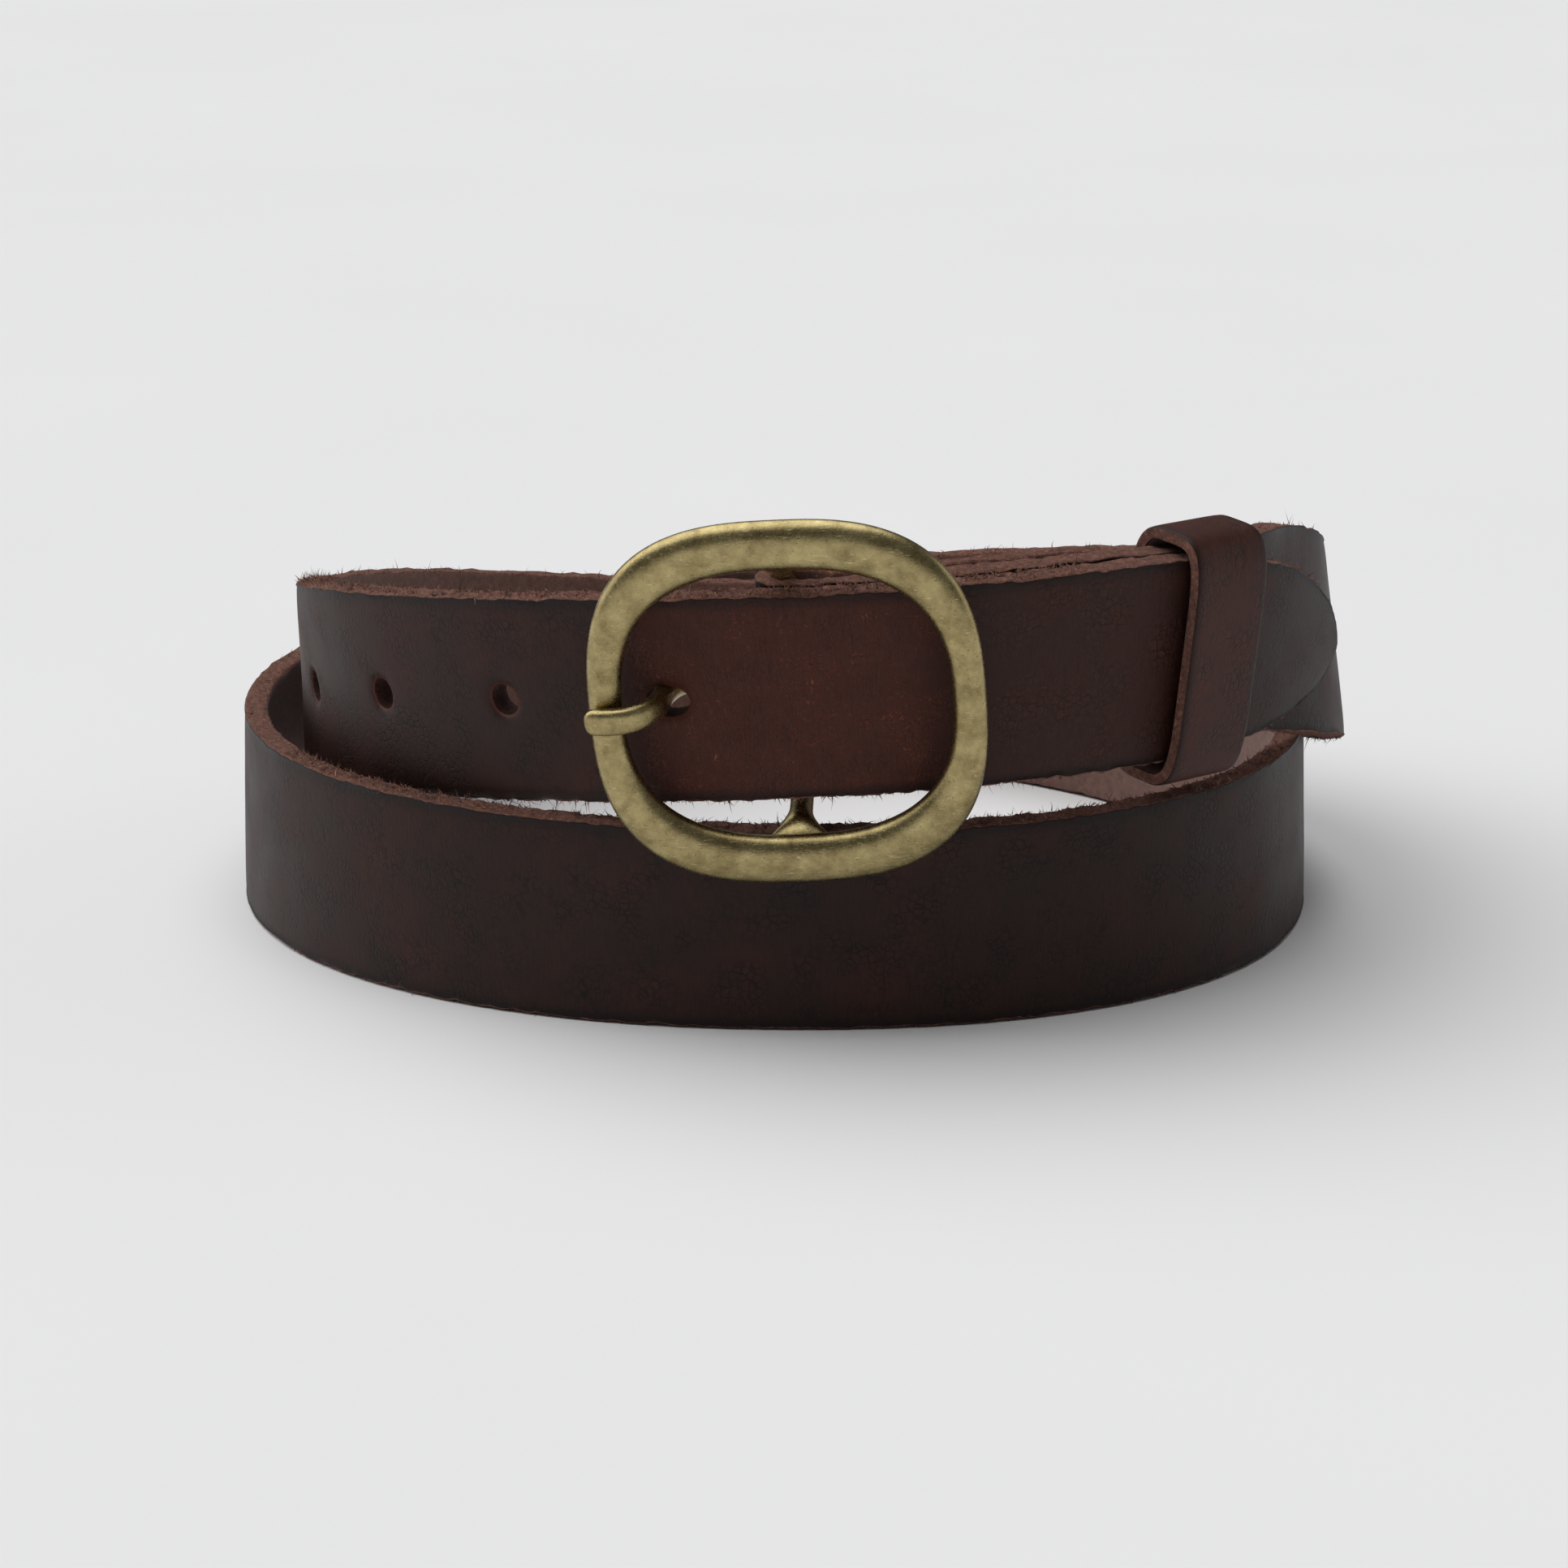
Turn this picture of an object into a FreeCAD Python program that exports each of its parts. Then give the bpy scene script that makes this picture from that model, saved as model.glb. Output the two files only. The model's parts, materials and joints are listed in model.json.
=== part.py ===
"""A brown leather belt with an antique brass centre-bar buckle, buckled and coiled two turns.

All sizes are in millimetres and angles in degrees.  +Z is up, the buckle faces -Y and +X is to
its right.  The belt is followed from its tip: it passes under the right side of the buckle, over
the centre bar and under the left side, goes round behind the coil, sinks to the floor, makes one
whole turn there and climbs behind its own tip to the buckle, where it folds round the centre bar.

Seven pieces: the strap, the cast buckle frame with its centre bar, the prong, the keeper loop and
the staple that closes it, and the two screw posts with their screws that hold the fold.
"""
import FreeCAD, Part
import math
import os
import Sketcher

from FreeCAD import Matrix, Placement, Rotation, Vector

# ---------------------------------------------------------------------------------------------
# Driving dimensions
# ---------------------------------------------------------------------------------------------
DIMENSIONS = {
    "strap_width": 30.0,
    "strap_thick": 3.6,
    "fold_thick": 2.4,         # the leather is skived thinner where it folds round the bar
    "layer_gap": 0.45,         # between the tip and the strand that lies behind it
    "flap_length": 45.0,       # from the bar to the end of the folded-back flap
    "tip_length": 52.0,        # over which the strap narrows to its rounded tip
    "hole_diameter": 4.6,
    "hole_pitch": 25.4,
    "hole_count": 5,
    "bar_diameter": 3.2,
    "bar_clearance": 0.08,
    "bar_depth": 9.6,          # from the middle of the ring back to the axis of the bar
    "ring_length": 53.8,
    "ring_height": 53.0,
    "ring_side_width": 4.6,
    "ring_top_width": 7.0,
    "ring_thick": 4.2,
    "ring_round": 1.9,
    "corner_outer": 17.5,
    "corner_inner": 13.0,
    "prong_width": 3.5,
    "prong_thick": 2.4,
    "prong_curl": 1.5,         # thickness of the prong where it curls round the bar
    "keeper_width": 14.0,
    "keeper_thick": 1.9,
    "keeper_inner_height": 32.8,
    "keeper_inner_depth": 9.8,
    "staple_wire": 0.7,
    "staple_span": 7.0,
    "post_head": 9.5,
    "post_head_thick": 1.0,
    "post_barrel": 4.8,
    "screw_shank": 3.0,
    "post_near": 14.0,         # from the bar to the first post
    "post_far": 34.0,          # from the bar to the second post
}

# Where things are along the belt, as the angle turned about the middle of the coil.
TIP_TURN = -70.0
BAR_TURN = 1.9
KEEPER_TURN = -42.5
KEEPER_SKEW = 3.0              # the loose keeper sits a little askew on the strap
WHOLE_BELT = 720.0
FIRST_HOLE_REACH = 17.1        # from the bar to the prong's hole
PRONG_SKEW = 2.6               # the prong points a little down, along the strap in front of it

# The coil, from the tip to the climb behind the tip: turn, radius and height of the middle line
# of the outer (grain) face, and how far its top leans outward.
TIP_STRAND = [
    (-74.0, 82.4, 42.8, 5.0),
    (-60.0, 82.0, 47.0, 5.5),
    (-45.0, 82.2, 50.0, 6.5),
    (-20.0, 82.4, 50.9, 8.5),
    (0.0, 82.0, 49.9, 9.5),
    (30.0, 78.6, 46.0, 9.0),
    (60.0, 77.4, 40.1, 6.0),
    (90.0, 76.2, 32.4, 0.0),
    (120.0, 76.8, 25.5, -1.0),
    (150.0, 77.0, 18.4, 0.0),
]
FLOOR_STRAND = [
    (180.0, 75.5, 15.1, 0.0),
    (215.0, 71.2, 15.0, 0.0),
    (250.0, 72.5, 15.0, -1.5),
    (270.0, 75.2, 15.0, -2.0),
    (285.0, 76.2, 15.0, -1.0),
    (300.0, 77.6, 15.0, 2.0),
    (330.0, 76.8, 14.9, 6.5),
    (360.0, 74.8, 14.8, 8.0),
    (390.0, 77.9, 14.9, 6.0),
    (420.0, 83.4, 15.0, 2.5),
    (450.0, 85.6, 15.0, -1.5),
    (480.0, 86.0, 15.0, -1.0),
]
CLIMBING_STRAND = [
    (510.0, 84.0, 15.4, 0.0),
    (540.0, 82.2, 17.4, 0.0),
    (570.0, 83.0, 21.8, 0.0),
    (600.0, 83.6, 28.6, -2.0),
    (625.0, 80.6, 36.6, -7.0),
    (637.0, 79.4, 41.2, -8.0),
    (645.0, 78.7, 44.2, -7.5),
    (652.0, 77.2, 46.8, -4.5),
    (661.0, 76.2, 49.2, 4.0),
]

doc = FreeCAD.newDocument("LeatherBelt")
sheet = doc.addObject("Spreadsheet::Sheet", "Dimensions")
for row, (alias, size) in enumerate(DIMENSIONS.items(), start=1):
    sheet.set("A%d" % row, alias)
    sheet.set("B%d" % row, str(size))
    sheet.setAlias("B%d" % row, alias)
doc.recompute()


def dim(alias):
    """The value of one driving dimension, read back from the sheet."""
    return float(sheet.get(alias))


# ---------------------------------------------------------------------------------------------
# The route of the strap
# ---------------------------------------------------------------------------------------------
def smooth_route(stations):
    """A smooth curve of (radius, height, lean) against the angle turned."""
    curve = Part.BSplineCurve()
    values = [Vector(radius, height, lean) for _, radius, height, lean in stations]
    curve.interpolate(Points=values, Parameters=[station[0] for station in stations])
    return curve


def point_on(curve, turn):
    """The middle of the grain face at this turn."""
    station = curve.value(turn)
    angle = math.radians(turn)
    return Vector(-station.x * math.sin(angle), -station.x * math.cos(angle), station.y)


def axes_on(curve, turn):
    """Middle point, direction back to the tip, width direction and grain normal at this turn."""
    ahead = point_on(curve, turn + 0.5)
    behind = point_on(curve, turn - 0.5)
    back = (behind - ahead).normalize()
    level = back.cross(Vector(0, 0, 1)).normalize()
    upright = level.cross(back)
    lean = math.radians(curve.value(turn).z)
    width = upright * math.cos(lean) + level * math.sin(lean)
    return point_on(curve, turn), back, width, back.cross(width)


tip_route = smooth_route(TIP_STRAND)
behind_tip = dim("strap_thick") + dim("layer_gap")


def station_behind(turn, depth):
    """The station of a strand that lies this deep behind the tip strand, one belt later."""
    station = tip_route.value(turn)
    lean = math.radians(station.z)
    radius = station.x - depth * math.cos(lean)
    height = station.y + depth * math.sin(lean)
    return (turn + WHOLE_BELT, radius, height, station.z)


SHARED_TURNS = (-45.0, -30.0, -15.0, 0.0, 12.0)
FINAL_STRAND = [station_behind(turn, behind_tip) for turn in SHARED_TURNS]
route = smooth_route(TIP_STRAND + FLOOR_STRAND + CLIMBING_STRAND + FINAL_STRAND)

bar_turn = BAR_TURN + WHOLE_BELT
grain_at_bar, bar_right, bar_up, bar_out = axes_on(route, bar_turn)
bar_radius = dim("bar_diameter") / 2
fold_inner = bar_radius + dim("bar_clearance")
fold_outer = fold_inner + dim("fold_thick")
bar_centre = grain_at_bar - bar_out * fold_outer


def turn_at(reach):
    """The turn of the last strand at this distance to the right of the bar."""
    radius = route.value(bar_turn).x
    return bar_turn - math.degrees(reach / radius)


# ---------------------------------------------------------------------------------------------
# The strap
# ---------------------------------------------------------------------------------------------
def eased(value, low, high):
    """0 below low, 1 above high, and a smooth step between them."""
    share = min(max((value - low) / (high - low), 0.0), 1.0)
    return share * share * (3 - 2 * share)


def main_section(turn, half=dim("strap_width") / 2):
    """One cross-section of the coil: middle of the grain face, half-width vector, normal, thickness.

    The last 24 mm before the bar are skived down to the thickness of the fold.
    """
    middle, _, width, normal = axes_on(route, turn)
    reach = math.radians(bar_turn - turn) * route.value(bar_turn).x
    thick = dim("fold_thick") + (dim("strap_thick") - dim("fold_thick")) * eased(reach, 2.0, 24.0)
    return middle, width * half, normal, thick


def tip_section(angle):
    """A section of the tip, which narrows as a slightly pointed half ellipse; 0 is its very end."""
    swing = math.radians(angle)
    along = dim("tip_length") * (1 - math.cos(swing))
    turn = TIP_TURN + math.degrees(along / tip_route.value(TIP_TURN).x)
    return main_section(turn, dim("strap_width") / 2 * math.sin(swing) ** 1.2)


def fold_section(angle):
    """A section of the fold, by its angle round the bar from the front to the back."""
    swing = math.radians(angle)
    normal = bar_out * math.cos(swing) - bar_right * math.sin(swing)
    half_width = bar_up * (dim("strap_width") / 2)
    return bar_centre + normal * fold_outer, half_width, normal, dim("fold_thick")


def flap_section(reach):
    """A section of the flap, which closes up against the back of the strand in front of it."""
    middle, half_width, normal, _ = main_section(turn_at(reach))
    open_depth = 2 * fold_outer
    closed_depth = dim("strap_thick") + 0.15 + dim("fold_thick")
    depth = open_depth + (closed_depth - open_depth) * eased(reach, 0.5, 9.0)
    return middle - normal * depth, half_width, normal * -1, dim("fold_thick")


def edge_curve(points, parameters):
    """One long edge of the strap as a smooth curve through its points."""
    curve = Part.BSplineCurve()
    curve.interpolate(Points=points, Parameters=parameters)
    return curve.toShape()


def ribbon(sections):
    """A closed solid through the cross-sections: four ruled long faces and two ends."""
    corners = [[], [], [], []]
    for middle, half_width, normal, thick in sections:
        flesh = middle - normal * thick
        corners[0].append(middle - half_width)
        corners[1].append(middle + half_width)
        corners[2].append(flesh + half_width)
        corners[3].append(flesh - half_width)
    parameters = [0.0]
    for index in range(1, len(sections)):
        steps = [(row[index] - row[index - 1]).Length for row in corners]
        parameters.append(parameters[-1] + sum(steps) / 4)
    edges = [edge_curve(row, parameters) for row in corners]
    faces = [Part.makeRuledSurface(edges[i], edges[(i + 1) % 4]) for i in range(4)]
    for end in (0, -1):
        outline = Part.makePolygon([row[end] for row in corners] + [corners[0][end]])
        faces.append(Part.Face(outline))
    shell = Part.makeShell(faces)
    shell.sewShape()
    solid = Part.makeSolid(shell)
    if solid.Volume < 0:
        solid.reverse()
    return solid


def placed(shape, origin, right, up, out):
    """The shape moved from its own frame (X right, Y up, Z out) to this one."""
    moved = shape.copy()
    moved.Placement = frame_placement(origin, right, up, out)
    return moved


def frame_placement(origin, right, up, out):
    """The Placement whose X, Y and Z are these three directions."""
    matrix = Matrix(
        right.x, up.x, out.x, origin.x,
        right.y, up.y, out.y, origin.y,
        right.z, up.z, out.z, origin.z,
        0, 0, 0, 1,
    )
    return Placement(matrix)


def round_punch(radius, low, high, sides):
    """A many-sided prism along Z; its flat faces cut cleanly through the strap's spline faces."""
    step = 2 * math.pi / sides
    corners = [
        Vector(radius * math.cos(step * (n + 0.5)), radius * math.sin(step * (n + 0.5)), low)
        for n in range(sides)
    ]
    return Part.Face(Part.makePolygon(corners + corners[:1])).extrude(Vector(0, 0, high - low))


def strap_hole(turn, stretch):
    """A punched hole through the tip strand; stretch makes it longer along the strap."""
    middle, right, up, out = axes_on(route, turn)
    radius = dim("hole_diameter") / 2
    depth = dim("strap_thick") + 2
    hole = Part.makeCylinder(radius, depth, Vector(stretch / 2, 0, -depth + 1))
    if stretch > 0:
        hole = hole.fuse(Part.makeCylinder(radius, depth, Vector(-stretch / 2, 0, -depth + 1)))
        box_corner = Vector(-stretch / 2, -radius, -depth + 1)
        hole = hole.fuse(Part.makeBox(stretch, 2 * radius, depth, box_corner))
    return placed(hole, middle, right, up, out)


def build_strap():
    """The whole strap in one piece: ribbon, tip, adjusting holes, prong slot and post holes."""
    tip_end = TIP_TURN + math.degrees(dim("tip_length") / tip_route.value(TIP_TURN).x)
    coil_end = turn_at(14.0)
    count = round((coil_end - tip_end) / 10.0)
    coil_step = (coil_end - tip_end) / count
    sections = [tip_section(angle) for angle in (4, 10, 18, 28, 40, 54, 70)]
    sections += [main_section(tip_end + coil_step * index) for index in range(count + 1)]
    sections += [main_section(turn_at(reach)) for reach in (10.0, 6.5, 4.0, 2.0)]
    sections += [fold_section(22.5 * index) for index in range(9)]
    sections += [flap_section(reach) for reach in (2.0, 4.0, 6.5, 10.0)]
    flap_steps = 5
    flap_step = (dim("flap_length") - 10.0) / flap_steps
    sections += [flap_section(10.0 + flap_step * index) for index in range(1, flap_steps + 1)]
    strap = ribbon(sections)

    cutters = []
    prong_turn = BAR_TURN + math.degrees(FIRST_HOLE_REACH / tip_route.value(BAR_TURN).x)
    pitch_turn = math.degrees(dim("hole_pitch") / tip_route.value(40.0).x)
    for index in range(int(dim("hole_count"))):
        stretch = 2.0 if index == 0 else 0.0
        cutters.append(strap_hole(prong_turn + index * pitch_turn, stretch))

    slot_width = dim("prong_width") + 1.0
    slot_corner = Vector(-fold_outer - 0.4, -slot_width / 2, -fold_outer - 0.4)
    slot = Part.makeBox(fold_outer + 5.2, slot_width, 2 * fold_outer + 0.62, slot_corner)
    cutters.append(placed(slot, bar_centre, bar_right, bar_up, bar_out))

    for reach in (dim("post_near"), dim("post_far")):
        origin, right, up, out = axes_on(route, turn_at(reach))
        bore = round_punch(dim("post_barrel") / 2 + 0.05, -6.9, -1.0, 24)
        recess = round_punch(dim("post_head") / 2 + 0.1, -1.1, 0.15, 32)
        cutters.append(placed(bore, origin, right, up, out))
        cutters.append(placed(recess, origin, right, up, out))
    for cutter in cutters:
        strap = strap.cut(cutter)
    return strap


# ---------------------------------------------------------------------------------------------
# Helpers for the bodies
# ---------------------------------------------------------------------------------------------
def new_body(label):
    """An empty PartDesign body."""
    body = doc.addObject("PartDesign::Body", label.title().replace("_", ""))
    body.Label = label
    return body


def sketch_on(body, role, name):
    """A sketch attached to one of the body's own origin planes."""
    sketch = body.newObject("Sketcher::SketchObject", name)
    plane = next(item for item in body.Origin.OriginFeatures if item.Role == role)
    sketch.AttachmentSupport = (plane, [""])
    sketch.MapMode = "FlatFace"
    return sketch


def circle_sketch(body, role, name, radius_formula):
    """A circle at the origin whose radius is bound to the sheet."""
    sketch = sketch_on(body, role, name)
    sketch.addGeometry(Part.Circle(Vector(0, 0, 0), Vector(0, 0, 1), 1.0), False)
    sketch.addConstraint(Sketcher.Constraint("Coincident", 0, 3, -1, 1))
    sketch.addConstraint(Sketcher.Constraint("Radius", 0, 1.0))
    sketch.setExpression("Constraints[1]", radius_formula)
    return sketch


def oval_arcs(half_length, half_height, corner):
    """The eight arcs of a rounded oval: bowed sides, top and bottom, and round corners.

    The corner centres lie on the diagonal that keeps the flatter arcs tangent to them.
    """
    centre_x = (half_length - corner) * 0.86
    centre_y = (half_height - corner) * 0.86

    def flat_radius(across, along, half):
        """Radius of the flatter arc that passes through half and touches the corner circle."""
        rest = half - corner
        behind = (across * across + along * along - rest * rest) / (2 * (rest - along))
        return half + behind

    top = flat_radius(centre_x, centre_y, half_height)
    side = flat_radius(centre_y, centre_x, half_length)
    top_centre = half_height - top
    side_centre = half_length - side
    top_angle = math.atan2(centre_y - top_centre, centre_x)
    side_angle = math.atan2(centre_y, centre_x - side_centre)
    arcs = []
    for turn in (0, 180):
        swing = math.radians(turn)
        flip = math.cos(swing)
        arcs.append((Vector(side_centre * flip, 0, 0), side, swing - side_angle, swing + side_angle))
        arcs.append((Vector(centre_x * flip, centre_y * flip, 0), corner,
                     swing + side_angle, swing + top_angle))
        arcs.append((Vector(0, top_centre * flip, 0), top,
                     swing + top_angle, swing + math.pi - top_angle))
        arcs.append((Vector(-centre_x * flip, centre_y * flip, 0), corner,
                     swing + math.pi - top_angle, swing + math.pi - side_angle))
    return [
        Part.ArcOfCircle(Part.Circle(centre, Vector(0, 0, 1), radius), start, end)
        for centre, radius, start, end in arcs
    ]


def pad(body, sketch, name, formula, midplane=False):
    """A Pad whose length is bound to the sheet."""
    feature = body.newObject("PartDesign::Pad", name)
    feature.Profile = sketch
    feature.setExpression("Length", formula)
    feature.SideType = "Symmetric" if midplane else "One side"
    return feature


# ---------------------------------------------------------------------------------------------
# The buckle frame: origin on the axis of the centre bar, X right, Y along the bar, Z out
# ---------------------------------------------------------------------------------------------
frame = new_body("buckle_frame")
ring_sketch = sketch_on(frame, "XY_Plane", "RingOutline")
outer_half = dim("ring_length") / 2
outer_high = dim("ring_height") / 2
ring_sketch.addGeometry(oval_arcs(outer_half, outer_high, dim("corner_outer")), False)
ring_sketch.addGeometry(
    oval_arcs(
        outer_half - dim("ring_side_width"),
        outer_high - dim("ring_top_width"),
        dim("corner_inner"),
    ),
    False,
)
ring_sketch.AttachmentOffset = Placement(Vector(0, 0, 0), Rotation())
ring_sketch.setExpression(
    "AttachmentOffset.Base.z", "Dimensions.bar_depth - Dimensions.ring_thick / 2"
)
ring = pad(frame, ring_sketch, "Ring", "Dimensions.ring_thick")
doc.recompute()
ring_round = frame.newObject("PartDesign::Fillet", "RingRound")
ring_round.Base = (ring, ["Face%d" % (i + 1) for i, face in enumerate(ring.Shape.Faces)
                          if face.Surface.TypeId == "Part::GeomPlane"])
ring_round.setExpression("Radius", "Dimensions.ring_round")
doc.recompute()

bar_sketch = circle_sketch(frame, "XZ_Plane", "BarSection", "Dimensions.bar_diameter / 2")
bar = pad(frame, bar_sketch, "CentreBar", "Dimensions.ring_height - 2 * Dimensions.ring_top_width + 1", True)

# Each arm drops from the back of the ring to one end of the bar, and the gusset flares it.
arm_sketch = sketch_on(frame, "YZ_Plane", "BarArms")
arm_in = outer_high - dim("ring_top_width") - 0.6
ring_back = dim("bar_depth") - dim("ring_thick") / 2
for side in (1, -1):
    corners = [
        Vector(side * arm_in, -bar_radius, 0),
        Vector(side * (arm_in + 1.1), -bar_radius + 0.5, 0),
        Vector(side * (arm_in + 1.4), ring_back - 0.3, 0),
        Vector(side * (arm_in + 3.8), ring_back + 0.7, 0),
        Vector(side * (arm_in + 3.8), ring_back + 2.0, 0),
        Vector(side * arm_in, ring_back + 2.0, 0),
    ]
    for start, end in zip(corners, corners[1:] + corners[:1]):
        arm_sketch.addGeometry(Part.LineSegment(start, end), False)
arms = pad(frame, arm_sketch, "BarArmsPad", "Dimensions.bar_diameter + 0.6", True)

gusset_sketch = sketch_on(frame, "XY_Plane", "Gussets")
gusset_sketch.setExpression(
    "AttachmentOffset.Base.z", "Dimensions.bar_depth - Dimensions.ring_thick / 2 + 0.1"
)
for side in (1, -1):
    corners = [
        Vector(-6.5, side * (arm_in + 1.2), 0),
        Vector(-1.9, side * (arm_in - 0.6), 0),
        Vector(1.9, side * (arm_in - 0.6), 0),
        Vector(6.5, side * (arm_in + 1.2), 0),
        Vector(5.5, side * (arm_in + 3.0), 0),
        Vector(-5.5, side * (arm_in + 3.0), 0),
    ]
    for start, end in zip(corners, corners[1:] + corners[:1]):
        gusset_sketch.addGeometry(Part.LineSegment(start, end), False)
gussets = pad(frame, gusset_sketch, "GussetsPad", "Dimensions.ring_thick / 2 - 0.3")
doc.recompute()

# ---------------------------------------------------------------------------------------------
# The prong: the same frame as the buckle, seen from the side in its XZ plane
# ---------------------------------------------------------------------------------------------
prong = new_body("prong")
prong_rest = dim("bar_depth") + dim("ring_thick") / 2 + dim("prong_thick") / 2 + 0.2
prong_line = [
    (0.0, -0.6),
    (-FIRST_HOLE_REACH + 4.0, -0.6),
    (-FIRST_HOLE_REACH + 0.9, 1.4),
    (-FIRST_HOLE_REACH - 0.1, 7.6),
    (-FIRST_HOLE_REACH - 2.2, 10.6),
    (-outer_half + 3.4, prong_rest),
    (-outer_half - 0.4, prong_rest),
]


def thick_line(points, thick):
    """The closed outline at half the thickness on each side of an open line of points."""
    sides = ([], [])
    for index, (x, z) in enumerate(points):
        before = points[max(index - 1, 0)]
        after = points[min(index + 1, len(points) - 1)]
        first = Vector(x - before[0], z - before[1], 0)
        second = Vector(after[0] - x, after[1] - z, 0)
        first = (first if first.Length > 0 else second).normalize()
        second = (second if second.Length > 0 else first).normalize()
        middle = (first + second).normalize()
        offset = Vector(-middle.y, middle.x, 0) * (thick / 2 / middle.dot(first))
        sides[0].append(Vector(x, z, 0) + offset)
        sides[1].append(Vector(x, z, 0) - offset)
    return sides[0] + sides[1][::-1]


prong_sketch = sketch_on(prong, "XZ_Plane", "ProngSide")
prong_sketch.AttachmentOffset = Placement(Vector(0, 0, 0), Rotation(Vector(0, 1, 0), PRONG_SKEW))
outline = thick_line(prong_line, dim("prong_thick"))
for start, end in zip(outline, outline[1:] + outline[:1]):
    prong_sketch.addGeometry(Part.LineSegment(start, end), False)
arm = pad(prong, prong_sketch, "ProngArm", "Dimensions.prong_width", True)
curl_sketch = circle_sketch(
    prong, "XZ_Plane", "CurlOutline",
    "Dimensions.bar_diameter / 2 + Dimensions.bar_clearance + Dimensions.prong_curl",
)
curl = pad(prong, curl_sketch, "Curl", "Dimensions.prong_width", True)
doc.recompute()
solid_volume = prong.Shape.Volume
eye_sketch = circle_sketch(
    prong, "XZ_Plane", "Eye", "Dimensions.bar_diameter / 2 + Dimensions.bar_clearance"
)
eye = prong.newObject("PartDesign::Pocket", "EyePocket")
eye.Profile = eye_sketch
eye.SideType = "Symmetric"
eye.Length = 20
doc.recompute()
if prong.Shape.Volume > solid_volume - 5:
    raise RuntimeError("the eye of the prong was not cut")


def is_long_edge(edge):
    """True for an outer edge of the arm that runs along the prong, clear of the curl."""
    start, end = edge.Vertexes[0].Point, edge.Vertexes[-1].Point
    across = abs(start.y - end.y) > 0.1
    clear = max(start.x, end.x) < -bar_radius - dim("prong_curl") - 1.0
    return clear and not across


long_edges = ["Edge%d" % (i + 1) for i, edge in enumerate(eye.Shape.Edges) if is_long_edge(edge)]
prong_round = prong.newObject("PartDesign::Fillet", "ProngRound")
prong_round.Base = (eye, long_edges)
prong_round.Radius = 0.8
doc.recompute()

# ---------------------------------------------------------------------------------------------
# The keeper: origin in the middle of the loop, X along the strap, Y up, Z out
# ---------------------------------------------------------------------------------------------
keeper = new_body("keeper_loop")
keeper_sketch = sketch_on(keeper, "YZ_Plane", "LoopSection")


def round_box(half_long, half_short, corner):
    """Lines and arcs of a rounded rectangle."""
    long_flat = half_long - corner
    short_flat = half_short - corner
    parts = []
    for quarter, (x_sign, y_sign) in enumerate(((1, 1), (-1, 1), (-1, -1), (1, -1))):
        centre = Vector(x_sign * long_flat, y_sign * short_flat, 0)
        start = math.radians(90 * quarter)
        circle = Part.Circle(centre, Vector(0, 0, 1), corner)
        parts.append(Part.ArcOfCircle(circle, start, start + math.pi / 2))
    flats = [
        (Vector(long_flat, half_short, 0), Vector(-long_flat, half_short, 0)),
        (Vector(-half_long, short_flat, 0), Vector(-half_long, -short_flat, 0)),
        (Vector(-long_flat, -half_short, 0), Vector(long_flat, -half_short, 0)),
        (Vector(half_long, -short_flat, 0), Vector(half_long, short_flat, 0)),
    ]
    parts += [Part.LineSegment(start, end) for start, end in flats]
    return parts


inner_high = dim("keeper_inner_height") / 2
inner_deep = dim("keeper_inner_depth") / 2
thick = dim("keeper_thick")
keeper_sketch.addGeometry(round_box(inner_high + thick, inner_deep + thick, 3.6), False)
keeper_sketch.addGeometry(round_box(inner_high, inner_deep, 1.3), False)
pad(keeper, keeper_sketch, "Loop", "Dimensions.keeper_width", True)
doc.recompute()

# The loop is closed on its hidden side by one wire staple pressed into the leather.
staple = new_body("keeper_staple")
staple_sketch = sketch_on(staple, "YZ_Plane", "StapleSide")
staple_line = [
    (-dim("staple_span") / 2, -inner_deep - thick + 0.5),
    (-dim("staple_span") / 2, -inner_deep - thick - 0.45),
    (dim("staple_span") / 2, -inner_deep - thick - 0.45),
    (dim("staple_span") / 2, -inner_deep - thick + 0.5),
]
outline = thick_line(staple_line, dim("staple_wire"))
for start, end in zip(outline, outline[1:] + outline[:1]):
    staple_sketch.addGeometry(Part.LineSegment(start, end), False)
pad(staple, staple_sketch, "StapleWire", "Dimensions.staple_wire", True)
doc.recompute()

# The staple's two legs sit in slits of the loop.
slit_sketch = sketch_on(keeper, "YZ_Plane", "StapleSlits")
slit_half = dim("staple_wire") / 2 + 0.03
for side in (1, -1):
    middle = side * dim("staple_span") / 2
    corners = [
        Vector(middle - slit_half, -inner_deep - thick - 0.1, 0),
        Vector(middle + slit_half, -inner_deep - thick - 0.1, 0),
        Vector(middle + slit_half, -inner_deep - thick + 0.55, 0),
        Vector(middle - slit_half, -inner_deep - thick + 0.55, 0),
    ]
    for start, end in zip(corners, corners[1:] + corners[:1]):
        slit_sketch.addGeometry(Part.LineSegment(start, end), False)
slits = keeper.newObject("PartDesign::Pocket", "Slits")
slits.Profile = slit_sketch
slits.SideType = "Symmetric"
slits.setExpression("Length", "Dimensions.staple_wire + 0.06")
loop_volume = keeper.Shape.Volume
doc.recompute()
if not keeper.Shape.Volume < loop_volume - 0.1:
    raise RuntimeError("the staple's slits cut nothing from the keeper")


# ---------------------------------------------------------------------------------------------
# The screw posts of the fold: origin on the grain face, Z out
# ---------------------------------------------------------------------------------------------
def cylinder(name, diameter, height, base):
    """A Part::Cylinder along Z with its sizes bound to the sheet and its base at this height."""
    item = doc.addObject("Part::Cylinder", name)
    item.setExpression("Radius", diameter + " / 2")
    item.setExpression("Height", height)
    item.setExpression("Placement.Base.z", base)
    return item


STACK = "(Dimensions.strap_thick + 0.15 + Dimensions.fold_thick)"
HEAD = "Dimensions.post_head_thick"


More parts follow.
